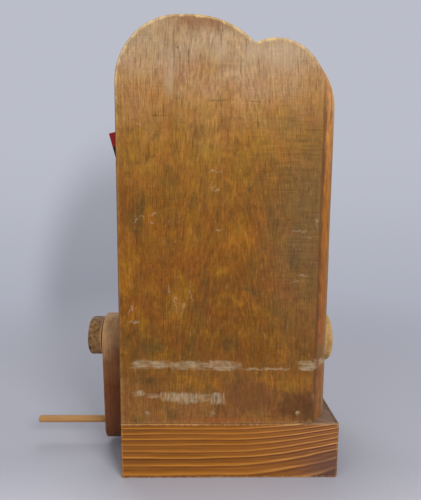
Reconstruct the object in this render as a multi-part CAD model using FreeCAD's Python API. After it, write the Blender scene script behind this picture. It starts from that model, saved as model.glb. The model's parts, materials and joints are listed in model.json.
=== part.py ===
"""Hand-cranked wooden automaton: a windmill in front of a two-lobed back panel.

Millimetres.  The origin is the middle of the base's underside, +Z is up, the front
faces -Y, the crank is on the +X side, and the back panel stands along +Y.

A friction wheel on the crankshaft turns a disc on an upright spindle.  The spindle's
upper disc turns a wheel on the windshaft, and the windshaft carries four sails.
"""
import FreeCAD, Part
import math
import os

from FreeCAD import Vector

X_AXIS = Vector(1, 0, 0)
Y_AXIS = Vector(0, 1, 0)
Z_AXIS = Vector(0, 0, 1)

# ---- base ----
base_length = 144.0
base_depth = 89.0
base_height = 38.0
base_edge_round = 1.0

# ---- back panel ----
panel_thickness = 12.0
panel_far_inset = 7.7          # far edge stands in from the base's far end
panel_slant_width = 10.8       # the far edge is cut on a slant, narrower at the back
panel_top_rise = 253.9         # top of the big lobe above the base
big_lobe_radius = 39.0         # crank side of the big lobe
big_lobe_flat = 7.6
big_lobe_far_radius = 53.0     # far side of the big lobe, down to the notch
small_lobe_front_drop = 12.4   # top of the small lobe below the top of the big one
small_lobe_back_drop = 12.2
small_lobe_front_radius = 38.5
small_lobe_back_radius = 29.0

# ---- mechanism box ----
wall_thickness = 12.0
wall_front_setback = 4.5
stage_thickness = 10.0
stage_edge_round = 2.0
cleat_height = 14.0
cleat_depth = 12.0

# ---- crankshaft and crank ----
running_clearance = 0.1        # radial, shaft in its bearing
side_play = 0.3                # between a washer and the board that it runs against
rub_gap = 0.3                  # between friction wheels and discs
shaft_rise = 45.5              # crankshaft above the base
shaft_radius = 5.0
washer_radius = 9.0
crank_washer_thickness = 3.2
far_washer_thickness = 1.7
arm_thickness = 14.8
arm_head_radius = 16.5
arm_foot_radius = 12.5
arm_ground_clearance = 4.5
arm_edge_round = 1.2
handle_radius = 2.6
handle_reach = 52.7            # handle outside the arm
handle_end_round = 0.6
crank_disc_gap = 1.0
crank_disc_radius = 13.8
crank_disc_thickness = 9.8
crank_disc_round = 1.8
far_disc_radius = 18.0
far_disc_thickness = 8.6
far_disc_round = 3.0
disc_skin = 3.0                # wood left at the end of a disc's blind bore

# ---- friction drive to the spindle ----
drive_wheel_radius = 27.0
drive_wheel_thickness = 10.0
drive_offset = 18.0            # drive wheel's middle to the spindle's axis
disc_overhang = 4.0            # disc past the wheel that drives or is driven
spindle_disc_thickness = 8.0
spindle_radius = 4.0
spindle_tail = 6.0             # spindle below its disc
collar_radius = 9.0
collar_height = 8.0
collar_room = 13.0             # free height between the spindle's disc and its collar
wheel_edge_round = 0.8

# ---- windshaft, drive and sails ----
mill_offset = 48.5             # mill's middle in from the panel's crank edge
windshaft_radius = 3.5
windshaft_wheel_radius = 18.0
windshaft_wheel_thickness = 7.0
windshaft_wheel_offset = 9.0   # wheel's middle behind the spindle's axis
windshaft_wheel_room = 1.5     # wheel's rim to the tower's sides, at the eaves' width
windshaft_socket = 6.0         # depth of the rear bearing in the panel
upper_disc_thickness = 6.0
spindle_head = 3.0             # spindle above its upper disc
windshaft_collar_radius = 7.0
windshaft_collar_length = 4.0
windshaft_washer_radius = 6.5
windshaft_washer_length = 4.4
stock_width = 8.0
stock_thickness = 5.0
stock_reach = 62.0             # from the windshaft's axis to a stock's end
sail_reach = 68.0
sail_root = 17.0               # from the windshaft's axis to a sail's narrow end
sail_root_width = 20.0
sail_tip_width = 32.0
sail_thickness = 3.0
sail_tilt = 15.0               # degrees that the crank-side sail hangs below level
sail_stage_clearance = 18.2
hub_cap_radius = 9.0
hub_cap_length = 7.0

# ---- mill tower ----
tower_board = 5.0
tower_taper = 9.5              # each side leans in by this much from foot to eaves
tower_front_y = -22.0
eaves_rise = 14.0              # eaves above the windshaft
roof_pitch = 40.0              # degrees
roof_board = 3.5
roof_overhang = 5.0
roof_front_overhang = 2.5
shelf_thickness = 6.0
shelf_gap = 3.7                # shelf below the upper disc
door_width = 15.0
door_height = 27.0
door_thickness = 1.8
knob_radius = 1.1
knob_length = 1.2
step_width = 20.0
step_depth = 5.0
step_height = 4.0
window_width = 11.0
window_height = 12.0
window_frame = 2.0
window_frame_thickness = 1.6
window_sash_thickness = 0.6
low_window_rise = 44.0         # low window's middle above the stage
high_window_rise = 67.0

# ---- nails and screws ----
nail_radius = 0.8
nail_head_radius = 1.6
nail_head_thickness = 0.8
panel_nail_length = 22.0
panel_nail_rise = 7.5          # above the base
panel_nail_crank_margin = 5.4  # in from the crank-side wall
panel_nail_far_margin = 8.2    # in from the far wall
panel_nail_middle_shift = 6.45   # middle nail, from halfway towards the crank side
stage_nail_length = 24.0
stage_nail_margin = 14.0       # in from the wall's front and back edges
sail_nail_radius = 0.5
sail_nail_head_radius = 1.1
sail_nail_head_thickness = 0.4
sail_nail_length = 6.4
sail_nail_reaches = (26.0, 54.0)
screw_radius = 2.0
screw_head_radius = 4.0
screw_head_height = 2.6
screw_recess = 0.6
screw_bite = 20.0              # length of screw inside the wall
screw_margin = 18.0

# ---- places worked out from the sizes above ----
base_back_y = base_depth / 2
base_front_y = -base_depth / 2
crank_edge_x = base_length / 2
far_edge_x = -base_length / 2 + panel_far_inset
panel_front_y = base_back_y - panel_thickness
panel_top_z = base_height + panel_top_rise

crank_wall_inner_x = crank_edge_x - wall_thickness
far_wall_inner_x = far_edge_x + wall_thickness
wall_front_y = base_front_y + wall_front_setback

shaft_z = base_height + shaft_rise
arm_inner_x = crank_edge_x + side_play + crank_washer_thickness
arm_outer_x = arm_inner_x + arm_thickness
crank_disc_inner_x = arm_outer_x + crank_disc_gap
crank_disc_outer_x = crank_disc_inner_x + crank_disc_thickness
far_disc_inner_x = far_edge_x - side_play - far_washer_thickness
far_disc_outer_x = far_disc_inner_x - far_disc_thickness
crank_throw = shaft_z - arm_foot_radius - arm_ground_clearance
handle_z = shaft_z - crank_throw

mill_x = crank_edge_x - mill_offset
drive_wheel_x = mill_x - drive_offset
spindle_disc_radius = drive_offset + drive_wheel_thickness / 2 + disc_overhang
spindle_disc_z = shaft_z + drive_wheel_radius + rub_gap
collar_z = spindle_disc_z + spindle_disc_thickness + collar_room
stage_bottom_z = collar_z + collar_height + side_play
stage_top_z = stage_bottom_z + stage_thickness

sail_corner_reach = math.hypot(sail_reach, sail_tip_width / 2)
windshaft_z = stage_top_z + sail_corner_reach + sail_stage_clearance
windshaft_wheel_y = windshaft_wheel_offset
upper_disc_radius = windshaft_wheel_offset + windshaft_wheel_thickness / 2 + disc_overhang
upper_disc_top_z = windshaft_z - windshaft_wheel_radius - rub_gap
upper_disc_z = upper_disc_top_z - upper_disc_thickness
shelf_top_z = upper_disc_z - shelf_gap
tower_front_inner_y = tower_front_y + tower_board
stock_back_y = tower_front_y - side_play - windshaft_washer_length
stock_front_y = stock_back_y - stock_thickness
sail_front_y = stock_front_y - sail_thickness
hub_cap_front_y = stock_front_y - hub_cap_length

tower_eaves_half_width = windshaft_wheel_radius + windshaft_wheel_room + tower_board
tower_foot_half_width = tower_eaves_half_width + tower_taper
eaves_z = windshaft_z + eaves_rise
roof_slope = math.tan(math.radians(roof_pitch))
ridge_z = eaves_z + tower_eaves_half_width * roof_slope
tower_lean = tower_taper / (eaves_z - stage_top_z)


# ---- helpers ----
def box(x0, x1, y0, y1, z0, z1):
    """Block between two opposite corners."""
    return Part.makeBox(x1 - x0, y1 - y0, z1 - z0, Vector(x0, y0, z0))


def rod(radius, start, end):
    """Cylinder from one point to another."""
    run = end - start
    return Part.makeCylinder(radius, run.Length, start, run)


def rod_x(radius, x0, x1, y, z):
    """Cylinder along X."""
    return rod(radius, Vector(x0, y, z), Vector(x1, y, z))


def rod_y(radius, y0, y1, x, z):
    """Cylinder along Y."""
    return rod(radius, Vector(x, y0, z), Vector(x, y1, z))


def rod_z(radius, z0, z1, x, y):
    """Cylinder along Z."""
    return rod(radius, Vector(x, y, z0), Vector(x, y, z1))


def round_edges(shape, radius, wanted):
    """Fillet the edges for which wanted(edge) is true."""
    edges = [edge for edge in shape.Edges if wanted(edge)]
    return shape.makeFillet(radius, edges)


def is_circle(edge, radius):
    """True for a round edge of this radius."""
    curve = edge.Curve
    return isinstance(curve, Part.Circle) and abs(curve.Radius - radius) < 1e-6


def plate_xz(points, y0, y1):
    """Flat board with an outline of (x, z) points, between two Y planes."""
    corners = [Vector(x, y0, z) for x, z in points]
    wire = Part.makePolygon(corners + corners[:1])
    return Part.Face(wire).extrude(Vector(0, y1 - y0, 0))


def arc(centre, radius, start_degrees, end_degrees, y):
    """Arc in the XZ plane at Y = y, counted anticlockwise from +X as seen from the front."""
    middle_degrees = (start_degrees + end_degrees) / 2
    points = []
    for degrees in (start_degrees, middle_degrees, end_degrees):
        angle = math.radians(degrees)
        x = centre[0] + radius * math.cos(angle)
        z = centre[1] + radius * math.sin(angle)
        points.append(Vector(x, y, z))
    return Part.Arc(*points).toShape()


def upper_crossing(centre_a, radius_a, centre_b, radius_b):
    """The higher of the two points where two circles in the XZ plane cross."""
    dx = centre_b[0] - centre_a[0]
    dz = centre_b[1] - centre_a[1]
    apart = math.hypot(dx, dz)
    along = (apart ** 2 + radius_a ** 2 - radius_b ** 2) / (2 * apart)
    across = math.sqrt(radius_a ** 2 - along ** 2)
    middle = (centre_a[0] + along * dx / apart, centre_a[1] + along * dz / apart)
    crossings = []
    for side in (-1, 1):
        x = middle[0] - side * across * dz / apart
        z = middle[1] + side * across * dx / apart
        crossings.append((x, z))
    return max(crossings, key=lambda point: point[1])


def degrees_from(centre, point):
    """Direction of a point from a centre, in degrees from +X."""
    return math.degrees(math.atan2(point[1] - centre[1], point[0] - centre[0]))


# ---- base ----
def base_block():
    """Block of softwood, its edges eased, with recessed holes for the wall screws."""
    block = box(-base_length / 2, base_length / 2, base_front_y, base_back_y, 0, base_height)
    upright = lambda edge: abs(edge.tangentAt(edge.FirstParameter).z) > 0.99
    block = round_edges(block, base_edge_round, upright)
    return block.cut(screw_holes())


# ---- back panel ----
def panel_outline(y, slant, small_radius, small_drop):
    """Outline of the panel at one depth: straight sides, big lobe, notch, small lobe."""
    far_x = far_edge_x + slant
    crank_centre = (crank_edge_x - big_lobe_radius, panel_top_z - big_lobe_radius)
    crest_x = crank_centre[0] - big_lobe_flat
    far_centre = (crest_x, panel_top_z - big_lobe_far_radius)
    small_centre = (far_x + small_radius, panel_top_z - small_drop - small_radius)
    notch = upper_crossing(far_centre, big_lobe_far_radius, small_centre, small_radius)

    foot_far = Vector(far_x, y, base_height)
    foot_crank = Vector(crank_edge_x, y, base_height)
    shoulder = Vector(crank_edge_x, y, crank_centre[1])
    crest_crank = Vector(crank_centre[0], y, panel_top_z)
    crest_far = Vector(crest_x, y, panel_top_z)
    far_shoulder = Vector(far_x, y, small_centre[1])
    edges = [
        Part.makeLine(foot_far, foot_crank),
        Part.makeLine(foot_crank, shoulder),
        arc(crank_centre, big_lobe_radius, 0, 90, y),
        Part.makeLine(crest_crank, crest_far),
        arc(far_centre, big_lobe_far_radius, 90, degrees_from(far_centre, notch), y),
        arc(small_centre, small_radius, degrees_from(small_centre, notch), 180, y),
        Part.makeLine(far_shoulder, foot_far),
    ]
    return Part.Wire(edges)


def back_panel():
    """Tall lobed board, its far edge cut on a slant, with nail holes and a blind bearing."""
    front = panel_outline(panel_front_y, 0, small_lobe_front_radius, small_lobe_front_drop)
    back = panel_outline(base_back_y, panel_slant_width, small_lobe_back_radius,
                         small_lobe_back_drop)
    board = Part.makeLoft([front, back], True, True)
    bearing = rod_y(windshaft_radius + running_clearance, panel_front_y,
                    panel_front_y + windshaft_socket, mill_x, windshaft_z)
    return board.cut(bearing).cut(panel_nails())


def rear_cleat():
    """Strip at the foot of the panel, between the walls, that takes the panel's nails."""
    strip = box(far_wall_inner_x, crank_wall_inner_x, panel_front_y - cleat_depth,
                panel_front_y, base_height, base_height + cleat_height)
    return strip.cut(panel_nails())


# ---- mechanism box ----
def side_wall(x0, x1):
    """Upright board with the crankshaft's bearing, screwed from below, nailed from above."""
    board = box(x0, x1, wall_front_y, panel_front_y, base_height, stage_bottom_z)
    bearing = rod_x(shaft_radius + running_clearance, x0, x1, 0, shaft_z)
    return board.cut(bearing).cut(screw_holes()).cut(stage_nails())


def side_wall_crank():
    """Bearing board on the crank side."""
    return side_wall(crank_wall_inner_x, crank_edge_x)


def side_wall_far():
    """Bearing board on the far side."""
    return side_wall(far_edge_x, far_wall_inner_x)


def stage_board():
    """Top of the box, front edge rounded, with the spindle's lower bearing."""
    board = box(far_edge_x, crank_edge_x, base_front_y, panel_front_y, stage_bottom_z,
                stage_top_z)
    front_edge = lambda edge: all(abs(v.Y - base_front_y) < 1e-6 for v in edge.Vertexes) \
        and abs(edge.tangentAt(edge.FirstParameter).x) > 0.99
    board = round_edges(board, stage_edge_round, front_edge)
    bearing = rod_z(spindle_radius + running_clearance, stage_bottom_z, stage_top_z, mill_x, 0)
    return board.cut(bearing).cut(stage_nails())


# ---- crankshaft and crank ----
def crankshaft():
    """Dowel through both walls, its ends inside the two end discs."""
    return rod_x(shaft_radius, far_disc_outer_x + disc_skin, crank_disc_outer_x - disc_skin,
                 0, shaft_z)


def crank_arm():
    """Arm with a wide round head, straight sides and a narrower round foot."""
    head = rod_x(arm_head_radius, arm_inner_x, arm_outer_x, 0, shaft_z)
    foot = rod_x(arm_foot_radius, arm_inner_x, arm_outer_x, 0, handle_z)
    lean = math.asin((arm_head_radius - arm_foot_radius) / crank_throw)
    corners = []
    for side, z, radius in ((1, shaft_z, arm_head_radius), (1, handle_z, arm_foot_radius),
                            (-1, handle_z, arm_foot_radius), (-1, shaft_z, arm_head_radius)):
        y = side * radius * math.cos(lean)
        corners.append(Vector(arm_inner_x, y, z - radius * math.sin(lean)))
    web = Part.Face(Part.makePolygon(corners + corners[:1])).extrude(X_AXIS * arm_thickness)
    arm = head.fuse([foot, web]).removeSplitter()
    rim = lambda edge: abs(edge.tangentAt(edge.FirstParameter).x) < 0.01
    arm = round_edges(arm, arm_edge_round, rim)
    shaft_hole = rod_x(shaft_radius, arm_inner_x, arm_outer_x, 0, shaft_z)
    handle_hole = rod_x(handle_radius, arm_inner_x, arm_outer_x, 0, handle_z)
    return arm.cut(shaft_hole).cut(handle_hole)


def handle_dowel():
    """Thin dowel, glued through the arm's foot."""
    dowel = rod_x(handle_radius, arm_inner_x, arm_outer_x + handle_reach, 0, handle_z)
    tip_x = arm_outer_x + handle_reach
    tip = lambda edge: is_circle(edge, handle_radius) and edge.CenterOfMass.x > tip_x - 1
    return round_edges(dowel, handle_end_round, tip)


def end_disc(radius, inner_x, outer_x, rounding):
    """Round cap on the shaft's end, with a blind bore and a rounded outer rim."""
    disc = rod_x(radius, inner_x, outer_x, 0, shaft_z)
    rim = lambda edge: is_circle(edge, radius) and abs(edge.CenterOfMass.x - outer_x) < 1e-6
    disc = round_edges(disc, rounding, rim)
    return disc.cut(crankshaft())


def crank_disc():
    """End cap outside the arm."""
    return end_disc(crank_disc_radius, crank_disc_inner_x, crank_disc_outer_x, crank_disc_round)


def far_disc():
    """Larger, more rounded end cap on the far side."""
    return end_disc(far_disc_radius, far_disc_inner_x, far_disc_outer_x, far_disc_round)


def crank_washer():
    """Spacer between the crank-side wall and the arm."""
    ring = rod_x(washer_radius, crank_edge_x + side_play, arm_inner_x, 0, shaft_z)
    return ring.cut(crankshaft())


def far_washer():
    """Spacer between the far wall and its end cap."""
    ring = rod_x(washer_radius, far_disc_inner_x, far_edge_x - side_play, 0, shaft_z)
    return ring.cut(crankshaft())


def drive_wheel():
    """Friction wheel on the crankshaft, under the edge of the spindle's disc."""
    half = drive_wheel_thickness / 2
    wheel = rod_x(drive_wheel_radius, drive_wheel_x - half, drive_wheel_x + half, 0, shaft_z)
    rim = lambda edge: is_circle(edge, drive_wheel_radius)
    return round_edges(wheel, wheel_edge_round, rim).cut(crankshaft())


# ---- spindle ----
def spindle():
    """Upright dowel from below its lower disc to above its upper disc."""
    return rod_z(spindle_radius, spindle_disc_z - spindle_tail, upper_disc_top_z + spindle_head,
                 mill_x, 0)


def disc_on_spindle(radius, z0, z1):
    """Disc glued on the spindle, both rims eased."""
    disc = rod_z(radius, z0, z1, mill_x, 0)
    rim = lambda edge: is_circle(edge, radius)
    return round_edges(disc, wheel_edge_round, rim).cut(spindle())


def spindle_disc():
    """Disc that rests on the drive wheel."""
    return disc_on_spindle(spindle_disc_radius, spindle_disc_z,
                           spindle_disc_z + spindle_disc_thickness)


def spindle_collar():
    """Collar under the stage that keeps the spindle from rising."""
    return disc_on_spindle(collar_radius, collar_z, collar_z + collar_height)


def upper_disc():
    """Disc that turns the windshaft's wheel."""
    return disc_on_spindle(upper_disc_radius, upper_disc_z, upper_disc_top_z)


# ---- windshaft and sails ----
def windshaft():
    """Dowel from the bearing in the panel, through the tower's front, to the hub cap."""
    return rod_y(windshaft_radius, stock_front_y - hub_cap_length + disc_skin,
                 panel_front_y + windshaft_socket - side_play, mill_x, windshaft_z)


def ring_on_windshaft(radius, y0, y1):
    """Ring glued on the windshaft."""
    return rod_y(radius, y0, y1, mill_x, windshaft_z).cut(windshaft())


def windshaft_wheel():
    """Wheel that rests on the spindle's upper disc."""
    half = windshaft_wheel_thickness / 2
    wheel = rod_y(windshaft_wheel_radius, windshaft_wheel_y - half, windshaft_wheel_y + half,
                  mill_x, windshaft_z)
    rim = lambda edge: is_circle(edge, windshaft_wheel_radius)
    return round_edges(wheel, wheel_edge_round, rim).cut(windshaft())


def windshaft_collar():
    """Collar behind the tower's front that keeps the windshaft from sliding out."""
    return ring_on_windshaft(windshaft_collar_radius, tower_front_inner_y + side_play,
                             tower_front_inner_y + side_play + windshaft_collar_length)


def windshaft_washer():
    """Spacer between the tower's front and the stocks."""
    return ring_on_windshaft(windshaft_washer_radius, stock_back_y, tower_front_y - side_play)


def turned(shape, quarter):
    """A shape drawn along +X from the windshaft's axis, turned to one of the four arms."""
    placed = shape.copy()
    placed.rotate(Vector(0, 0, 0), Y_AXIS, sail_tilt - 90 * quarter)
    placed.translate(Vector(mill_x, 0, windshaft_z))
    return placed


def stock(quarter, notch_y0, notch_y1):
    """Bar across the windshaft, notched to half its thickness where the bars cross."""
    half = stock_width / 2
    bar = box(-stock_reach, stock_reach, stock_front_y, stock_back_y, -half, half)
    notch = box(-half, half, notch_y0, notch_y1, -half, half)
    bar = turned(bar.cut(notch), quarter)
    return bar.cut(windshaft()).cut(sail_nails())


def stock_a():
    """Stock of the crank-side and far-side sails, notched at the front."""
    return stock(0, stock_front_y, stock_front_y + stock_thickness / 2)


def stock_b():
    """Stock of the upper and lower sails, notched at the back."""
    return stock(1, stock_front_y + stock_thickness / 2, stock_back_y)


def sail(quarter):
    """Thin board on the front of a stock, wider towards its tip."""
    outline = [(sail_root, -sail_root_width / 2), (sail_reach, -sail_tip_width / 2),
               (sail_reach, sail_tip_width / 2), (sail_root, sail_root_width / 2)]
    board = plate_xz(outline, sail_front_y, stock_front_y)
    return turned(board, quarter).cut(sail_nails())


def sail_crank_side():
    """Sail that points to the crank side at rest."""
    return sail(0)


def sail_upper():
    """Sail that points up at rest."""
    return sail(1)


def sail_far_side():
    """Sail that points to the far side at rest."""
    return sail(2)


def sail_lower():
    """Sail that points down at rest."""
    return sail(3)


def sail_nails():
    """Small nails through each sail into its stock."""
    nails = []
    for quarter in range(4):
        for reach in sail_nail_reaches:
            head = rod_y(sail_nail_head_radius, sail_front_y,
                         sail_front_y + sail_nail_head_thickness, reach, 0)
            shank = rod_y(sail_nail_radius, sail_front_y, sail_front_y + sail_nail_length,
                          reach, 0)
            nails.append(turned(head.fuse(shank).removeSplitter(), quarter))
    return Part.makeCompound(nails)


def hub_cap():
    """Turned boss glued over the end of the windshaft."""
    boss = rod_y(hub_cap_radius, hub_cap_front_y, stock_front_y, mill_x, windshaft_z)
    rim = lambda edge: is_circle(edge, hub_cap_radius) \
        and abs(edge.CenterOfMass.y - hub_cap_front_y) < 1e-6
    return round_edges(boss, hub_cap_length * 0.6, rim).cut(windshaft())


# ---- mill tower ----
def tower_x(z, depth_in):
    """Half width of the tower at a height, to a surface this far inside the outer one."""
    return tower_foot_half_width - (z - stage_top_z) * tower_lean - depth_in


def under_roof(depth_in):
    """Point (half width, height) where a tower surface meets the underside of the roof."""
    foot = tower_foot_half_width - depth_in
    height = (ridge_z - stage_top_z - foot * roof_slope) / (1 - tower_lean * roof_slope)
    z = stage_top_z + height
    return tower_x(z, depth_in), z


def mirrored(points, side):
    """Outline about the mill's middle, on its crank side (1) or far side (-1)."""
    return [(mill_x + side * x, z) for x, z in points]


def tower_front():
    """House-shaped front board, with the windshaft's front bearing."""
    eaves = under_roof(0)
    outline = [(mill_x - tower_foot_half_width, stage_top_z),
               (mill_x + tower_foot_half_width, stage_top_z),
               (mill_x + eaves[0], eaves[1]),
               (mill_x, ridge_z),
               (mill_x - eaves[0], eaves[1])]
    board = plate_xz(outline, tower_front_y, tower_front_inner_y)
    bearing = rod_y(windshaft_radius + running_clearance, tower_front_y, tower_front_inner_y,
                    mill_x, windshaft_z)
    return board.cut(bearing)


def tower_side(side):
    """Leaning side board, from the front board back to the panel."""
    outline = [(tower_foot_half_width - tower_board, stage_top_z),
               (tower_foot_half_width, stage_top_z),
               under_roof(0),
               under_roof(tower_board)]
    return plate_xz(mirrored(outline, side), tower_front_inner_y, panel_front_y)


def tower_side_crank():
    """Side board on the crank side."""
    return tower_side(1)


def tower_side_far():
    """Side board on the far side."""
    return tower_side(-1)


def tower_shelf():
    """Shelf across the tower, with the spindle's upper bearing."""
    z0 = shelf_top_z - shelf_thickness
    low = tower_x(z0, tower_board)
    high = tower_x(shelf_top_z, tower_board)
    outline = [(mill_x - low, z0), (mill_x + low, z0),
               (mill_x + high, shelf_top_z), (mill_x - high, shelf_top_z)]
    board = plate_xz(outline, tower_front_inner_y, panel_front_y)
    bearing = rod_z(spindle_radius + running_clearance, z0, shelf_top_z, mill_x, 0)
    return board.cut(bearing)


def roof(side):
    """Sloping roof board, mitred at the ridge."""
    eave_x = under_roof(0)[0] + roof_overhang
    eave_z = ridge_z - eave_x * roof_slope
    angle = math.radians(roof_pitch)
    outline = [(0, ridge_z),
               (eave_x, eave_z),
               (eave_x + roof_board * math.sin(angle), eave_z + roof_board * math.cos(angle)),
               (0, ridge_z + roof_board / math.cos(angle))]
    return plate_xz(mirrored(outline, side), tower_front_y - roof_front_overhang, panel_front_y)


def roof_board_crank():
    """Roof board on the crank side."""
    return roof(1)


def roof_board_far():
    """Roof board on the far side."""
    return roof(-1)


def tower_door():
    """Thin door glued on the front board, standing on the step's level."""
    z0 = stage_top_z + step_height
    return box(mill_x - door_width / 2, mill_x + door_width / 2, tower_front_y - door_thickness,
               tower_front_y, z0, z0 + door_height)


def door_knob():
    """Small round knob on the door."""
    x = mill_x + door_width / 2 - 3 * knob_radius
    z = stage_top_z + step_height + door_height / 2
    face_y = tower_front_y - door_thickness
    return rod_y(knob_radius, face_y - knob_length, face_y, x, z)


def door_step():
    """Step block in front of the door."""
    return box(mill_x - step_width / 2, mill_x + step_width / 2, tower_front_y - step_depth,
               tower_front_y, stage_top_z, stage_top_z + step_height)


def window(middle_z):
    """Thin sash inside a raised frame."""
    half_width = window_width / 2
    half_height = window_height / 2
    outer = box(mill_x - half_width, mill_x + half_width,
                tower_front_y - window_frame_thickness, tower_front_y,
                middle_z - half_height, middle_z + half_height)
    hollow = box(mill_x - half_width + window_frame, mill_x + half_width - window_frame,
                 tower_front_y - window_frame_thickness, tower_front_y - window_sash_thickness,
                 middle_z - half_height + window_frame, middle_z + half_height - window_frame)
    return outer.cut(hollow)


def tower_windows():
    """Two windows, one above the other, glued on the front board."""
    rises = (low_window_rise, high_window_rise)
    return Part.makeCompound([window(stage_top_z + rise) for rise in rises])


# ---- nails and screws ----
def panel_nails():
    """Nails from the back, through the panel into the cleat."""
    crank_x = crank_wall_inner_x - panel_nail_crank_margin
    far_x = far_wall_inner_x + panel_nail_far_margin
    middle_x = (crank_x + far_x) / 2 + panel_nail_middle_shift
    z = base_height + panel_nail_rise
    nails = []
    for x in (crank_x, middle_x, far_x):
        head = rod_y(nail_head_radius, base_back_y - nail_head_thickness, base_back_y, x, z)
        shank = rod_y(nail_radius, base_back_y - panel_nail_length, base_back_y, x, z)
        nails.append(head.fuse(shank).removeSplitter())
    return Part.makeCompound(nails)


def wall_places(margin):
    """Middles (x, y) of the fastenings at the front and back of both walls."""
    places = []
    for x in (crank_edge_x - wall_thickness / 2, far_edge_x + wall_thickness / 2):
        for y in (wall_front_y + margin, panel_front_y - margin):
            places.append((x, y))
    return places


def stage_nails():
    """Nails down through the stage into the walls."""
    nails = []
    for x, y in wall_places(stage_nail_margin):
        head = rod_z(nail_head_radius, stage_top_z - nail_head_thickness, stage_top_z, x, y)
        shank = rod_z(nail_radius, stage_top_z - stage_nail_length, stage_top_z, x, y)
        nails.append(head.fuse(shank).removeSplitter())
    return Part.makeCompound(nails)


def base_screws():
    """Countersunk screws up through the base into the walls."""
    screws = []
    for x, y in wall_places(screw_margin):
        head = Part.makeCone(screw_head_radius, screw_radius, screw_head_height,
                             Vector(x, y, screw_recess), Z_AXIS)
        shank = rod_z(screw_radius, screw_recess, base_height + screw_bite, x, y)
        screws.append(head.fuse(shank).removeSplitter())
    return Part.makeCompound(screws)


def screw_holes():
    """The screws' own space, open down to the base's underside."""
    holes = [base_screws()]
    for x, y in wall_places(screw_margin):
        holes.append(rod_z(screw_head_radius, 0, screw_recess, x, y))
    return Part.makeCompound(holes)


PIECES = (
    base_block, back_panel, rear_cleat, side_wall_crank, side_wall_far, stage_board,
    panel_nails, stage_nails, base_screws,
    crankshaft, crank_arm, handle_dowel, crank_disc, far_disc, crank_washer, far_washer,
    drive_wheel,
    spindle, spindle_disc, spindle_collar, upper_disc,
    windshaft, windshaft_wheel, windshaft_collar, windshaft_washer, stock_a, stock_b,
    sail_crank_side, sail_upper, sail_far_side, sail_lower, sail_nails, hub_cap,
    tower_front, tower_side_crank, tower_side_far, tower_shelf, roof_board_crank,
    roof_board_far, tower_door, door_knob, door_step, tower_windows,
)


def main():
    """Write one STEP file for each piece."""
    os.makedirs("parts", exist_ok=True)
    for piece in PIECES:
        piece().exportStep("parts/" + piece.__name__ + ".step")


main()
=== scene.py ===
"""Dresses the hand-cranked wooden automaton: worn stained boards, and a painted windmill.

Metres, in the part's own frame: +Z up, the front faces -Y, the back panel is at +Y and the
crank is on the +X side.  Inside materials, places and sizes are in millimetres.
"""

import json
import math

import bmesh
import bpy
from bpy.props import FloatProperty, FloatVectorProperty, IntProperty, PointerProperty
from mathutils import Matrix, Vector


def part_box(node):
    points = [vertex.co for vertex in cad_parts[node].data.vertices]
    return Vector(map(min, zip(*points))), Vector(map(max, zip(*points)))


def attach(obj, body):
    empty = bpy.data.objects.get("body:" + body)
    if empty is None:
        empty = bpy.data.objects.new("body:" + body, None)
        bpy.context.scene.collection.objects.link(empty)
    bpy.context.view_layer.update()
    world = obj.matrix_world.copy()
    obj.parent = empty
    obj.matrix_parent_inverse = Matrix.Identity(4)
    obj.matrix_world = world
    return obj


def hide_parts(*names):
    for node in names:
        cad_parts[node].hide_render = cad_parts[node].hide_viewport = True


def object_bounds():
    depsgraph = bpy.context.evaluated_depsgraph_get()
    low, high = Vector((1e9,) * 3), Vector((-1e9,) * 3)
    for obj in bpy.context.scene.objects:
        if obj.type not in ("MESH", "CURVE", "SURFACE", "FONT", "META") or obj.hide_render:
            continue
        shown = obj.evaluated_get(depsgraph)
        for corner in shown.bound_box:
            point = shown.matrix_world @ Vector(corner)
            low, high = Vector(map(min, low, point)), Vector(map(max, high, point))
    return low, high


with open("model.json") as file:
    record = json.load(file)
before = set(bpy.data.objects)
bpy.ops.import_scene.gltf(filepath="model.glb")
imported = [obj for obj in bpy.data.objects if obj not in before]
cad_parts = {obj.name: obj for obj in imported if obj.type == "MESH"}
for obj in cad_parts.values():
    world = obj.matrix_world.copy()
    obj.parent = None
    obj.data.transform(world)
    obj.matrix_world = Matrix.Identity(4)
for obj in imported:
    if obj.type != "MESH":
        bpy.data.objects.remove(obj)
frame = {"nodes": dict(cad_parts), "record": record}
CAD_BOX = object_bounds()

bl_info = {
    "name": "Crank automaton dresser",
    "version": (1, 0, 0),
    "blender": (4, 5, 0),
    "location": "3D View > Sidebar > Automaton",
    "description": "Wood, paint and small trim for a hand-cranked wooden automaton",
    "category": "Object",
}

NODES = frame["nodes"]
RECORD = frame["record"]
BODY_OF = {node: body for body, nodes in RECORD["behaviour"]["bodies"].items() for node in nodes}
SLOT_OF = {part["node"]: part["material_slot"] for part in RECORD["subparts"]}

X, Y, Z = 0, 1, 2
MM = 0.001
BACK = 44.5  # the back face of panel and base, in millimetres
BACK_ROOM = 0.2 * MM  # how far trim stops short of the back of the solid that it stands for
MERGED = 1e-6  # corners nearer than this are one corner
SHARP = math.radians(35)  # edges that turn more than this are edges of the piece
SMOOTH = {"interpolation_type": "SMOOTHSTEP"}


def srgb(code):
    """A hex colour as linear red, green, blue and alpha."""
    channels = [int(code[i:i + 2], 16) / 255.0 for i in (0, 2, 4)]
    linear = [c / 12.92 if c <= 0.04045 else ((c + 0.055) / 1.055) ** 2.4 for c in channels]
    return (*linear, 1.0)


def colour(name, description, code):
    """A colour setting with a hex default."""
    return FloatVectorProperty(name=name, description=description, subtype="COLOR", size=4,
                               min=0.0, max=1.0, default=srgb(code))


def length(name, description, millimetres):
    """A length setting with a default in millimetres."""
    return FloatProperty(name=name, description=description, unit="LENGTH", min=0.0,
                         precision=5, default=millimetres * MM)


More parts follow.
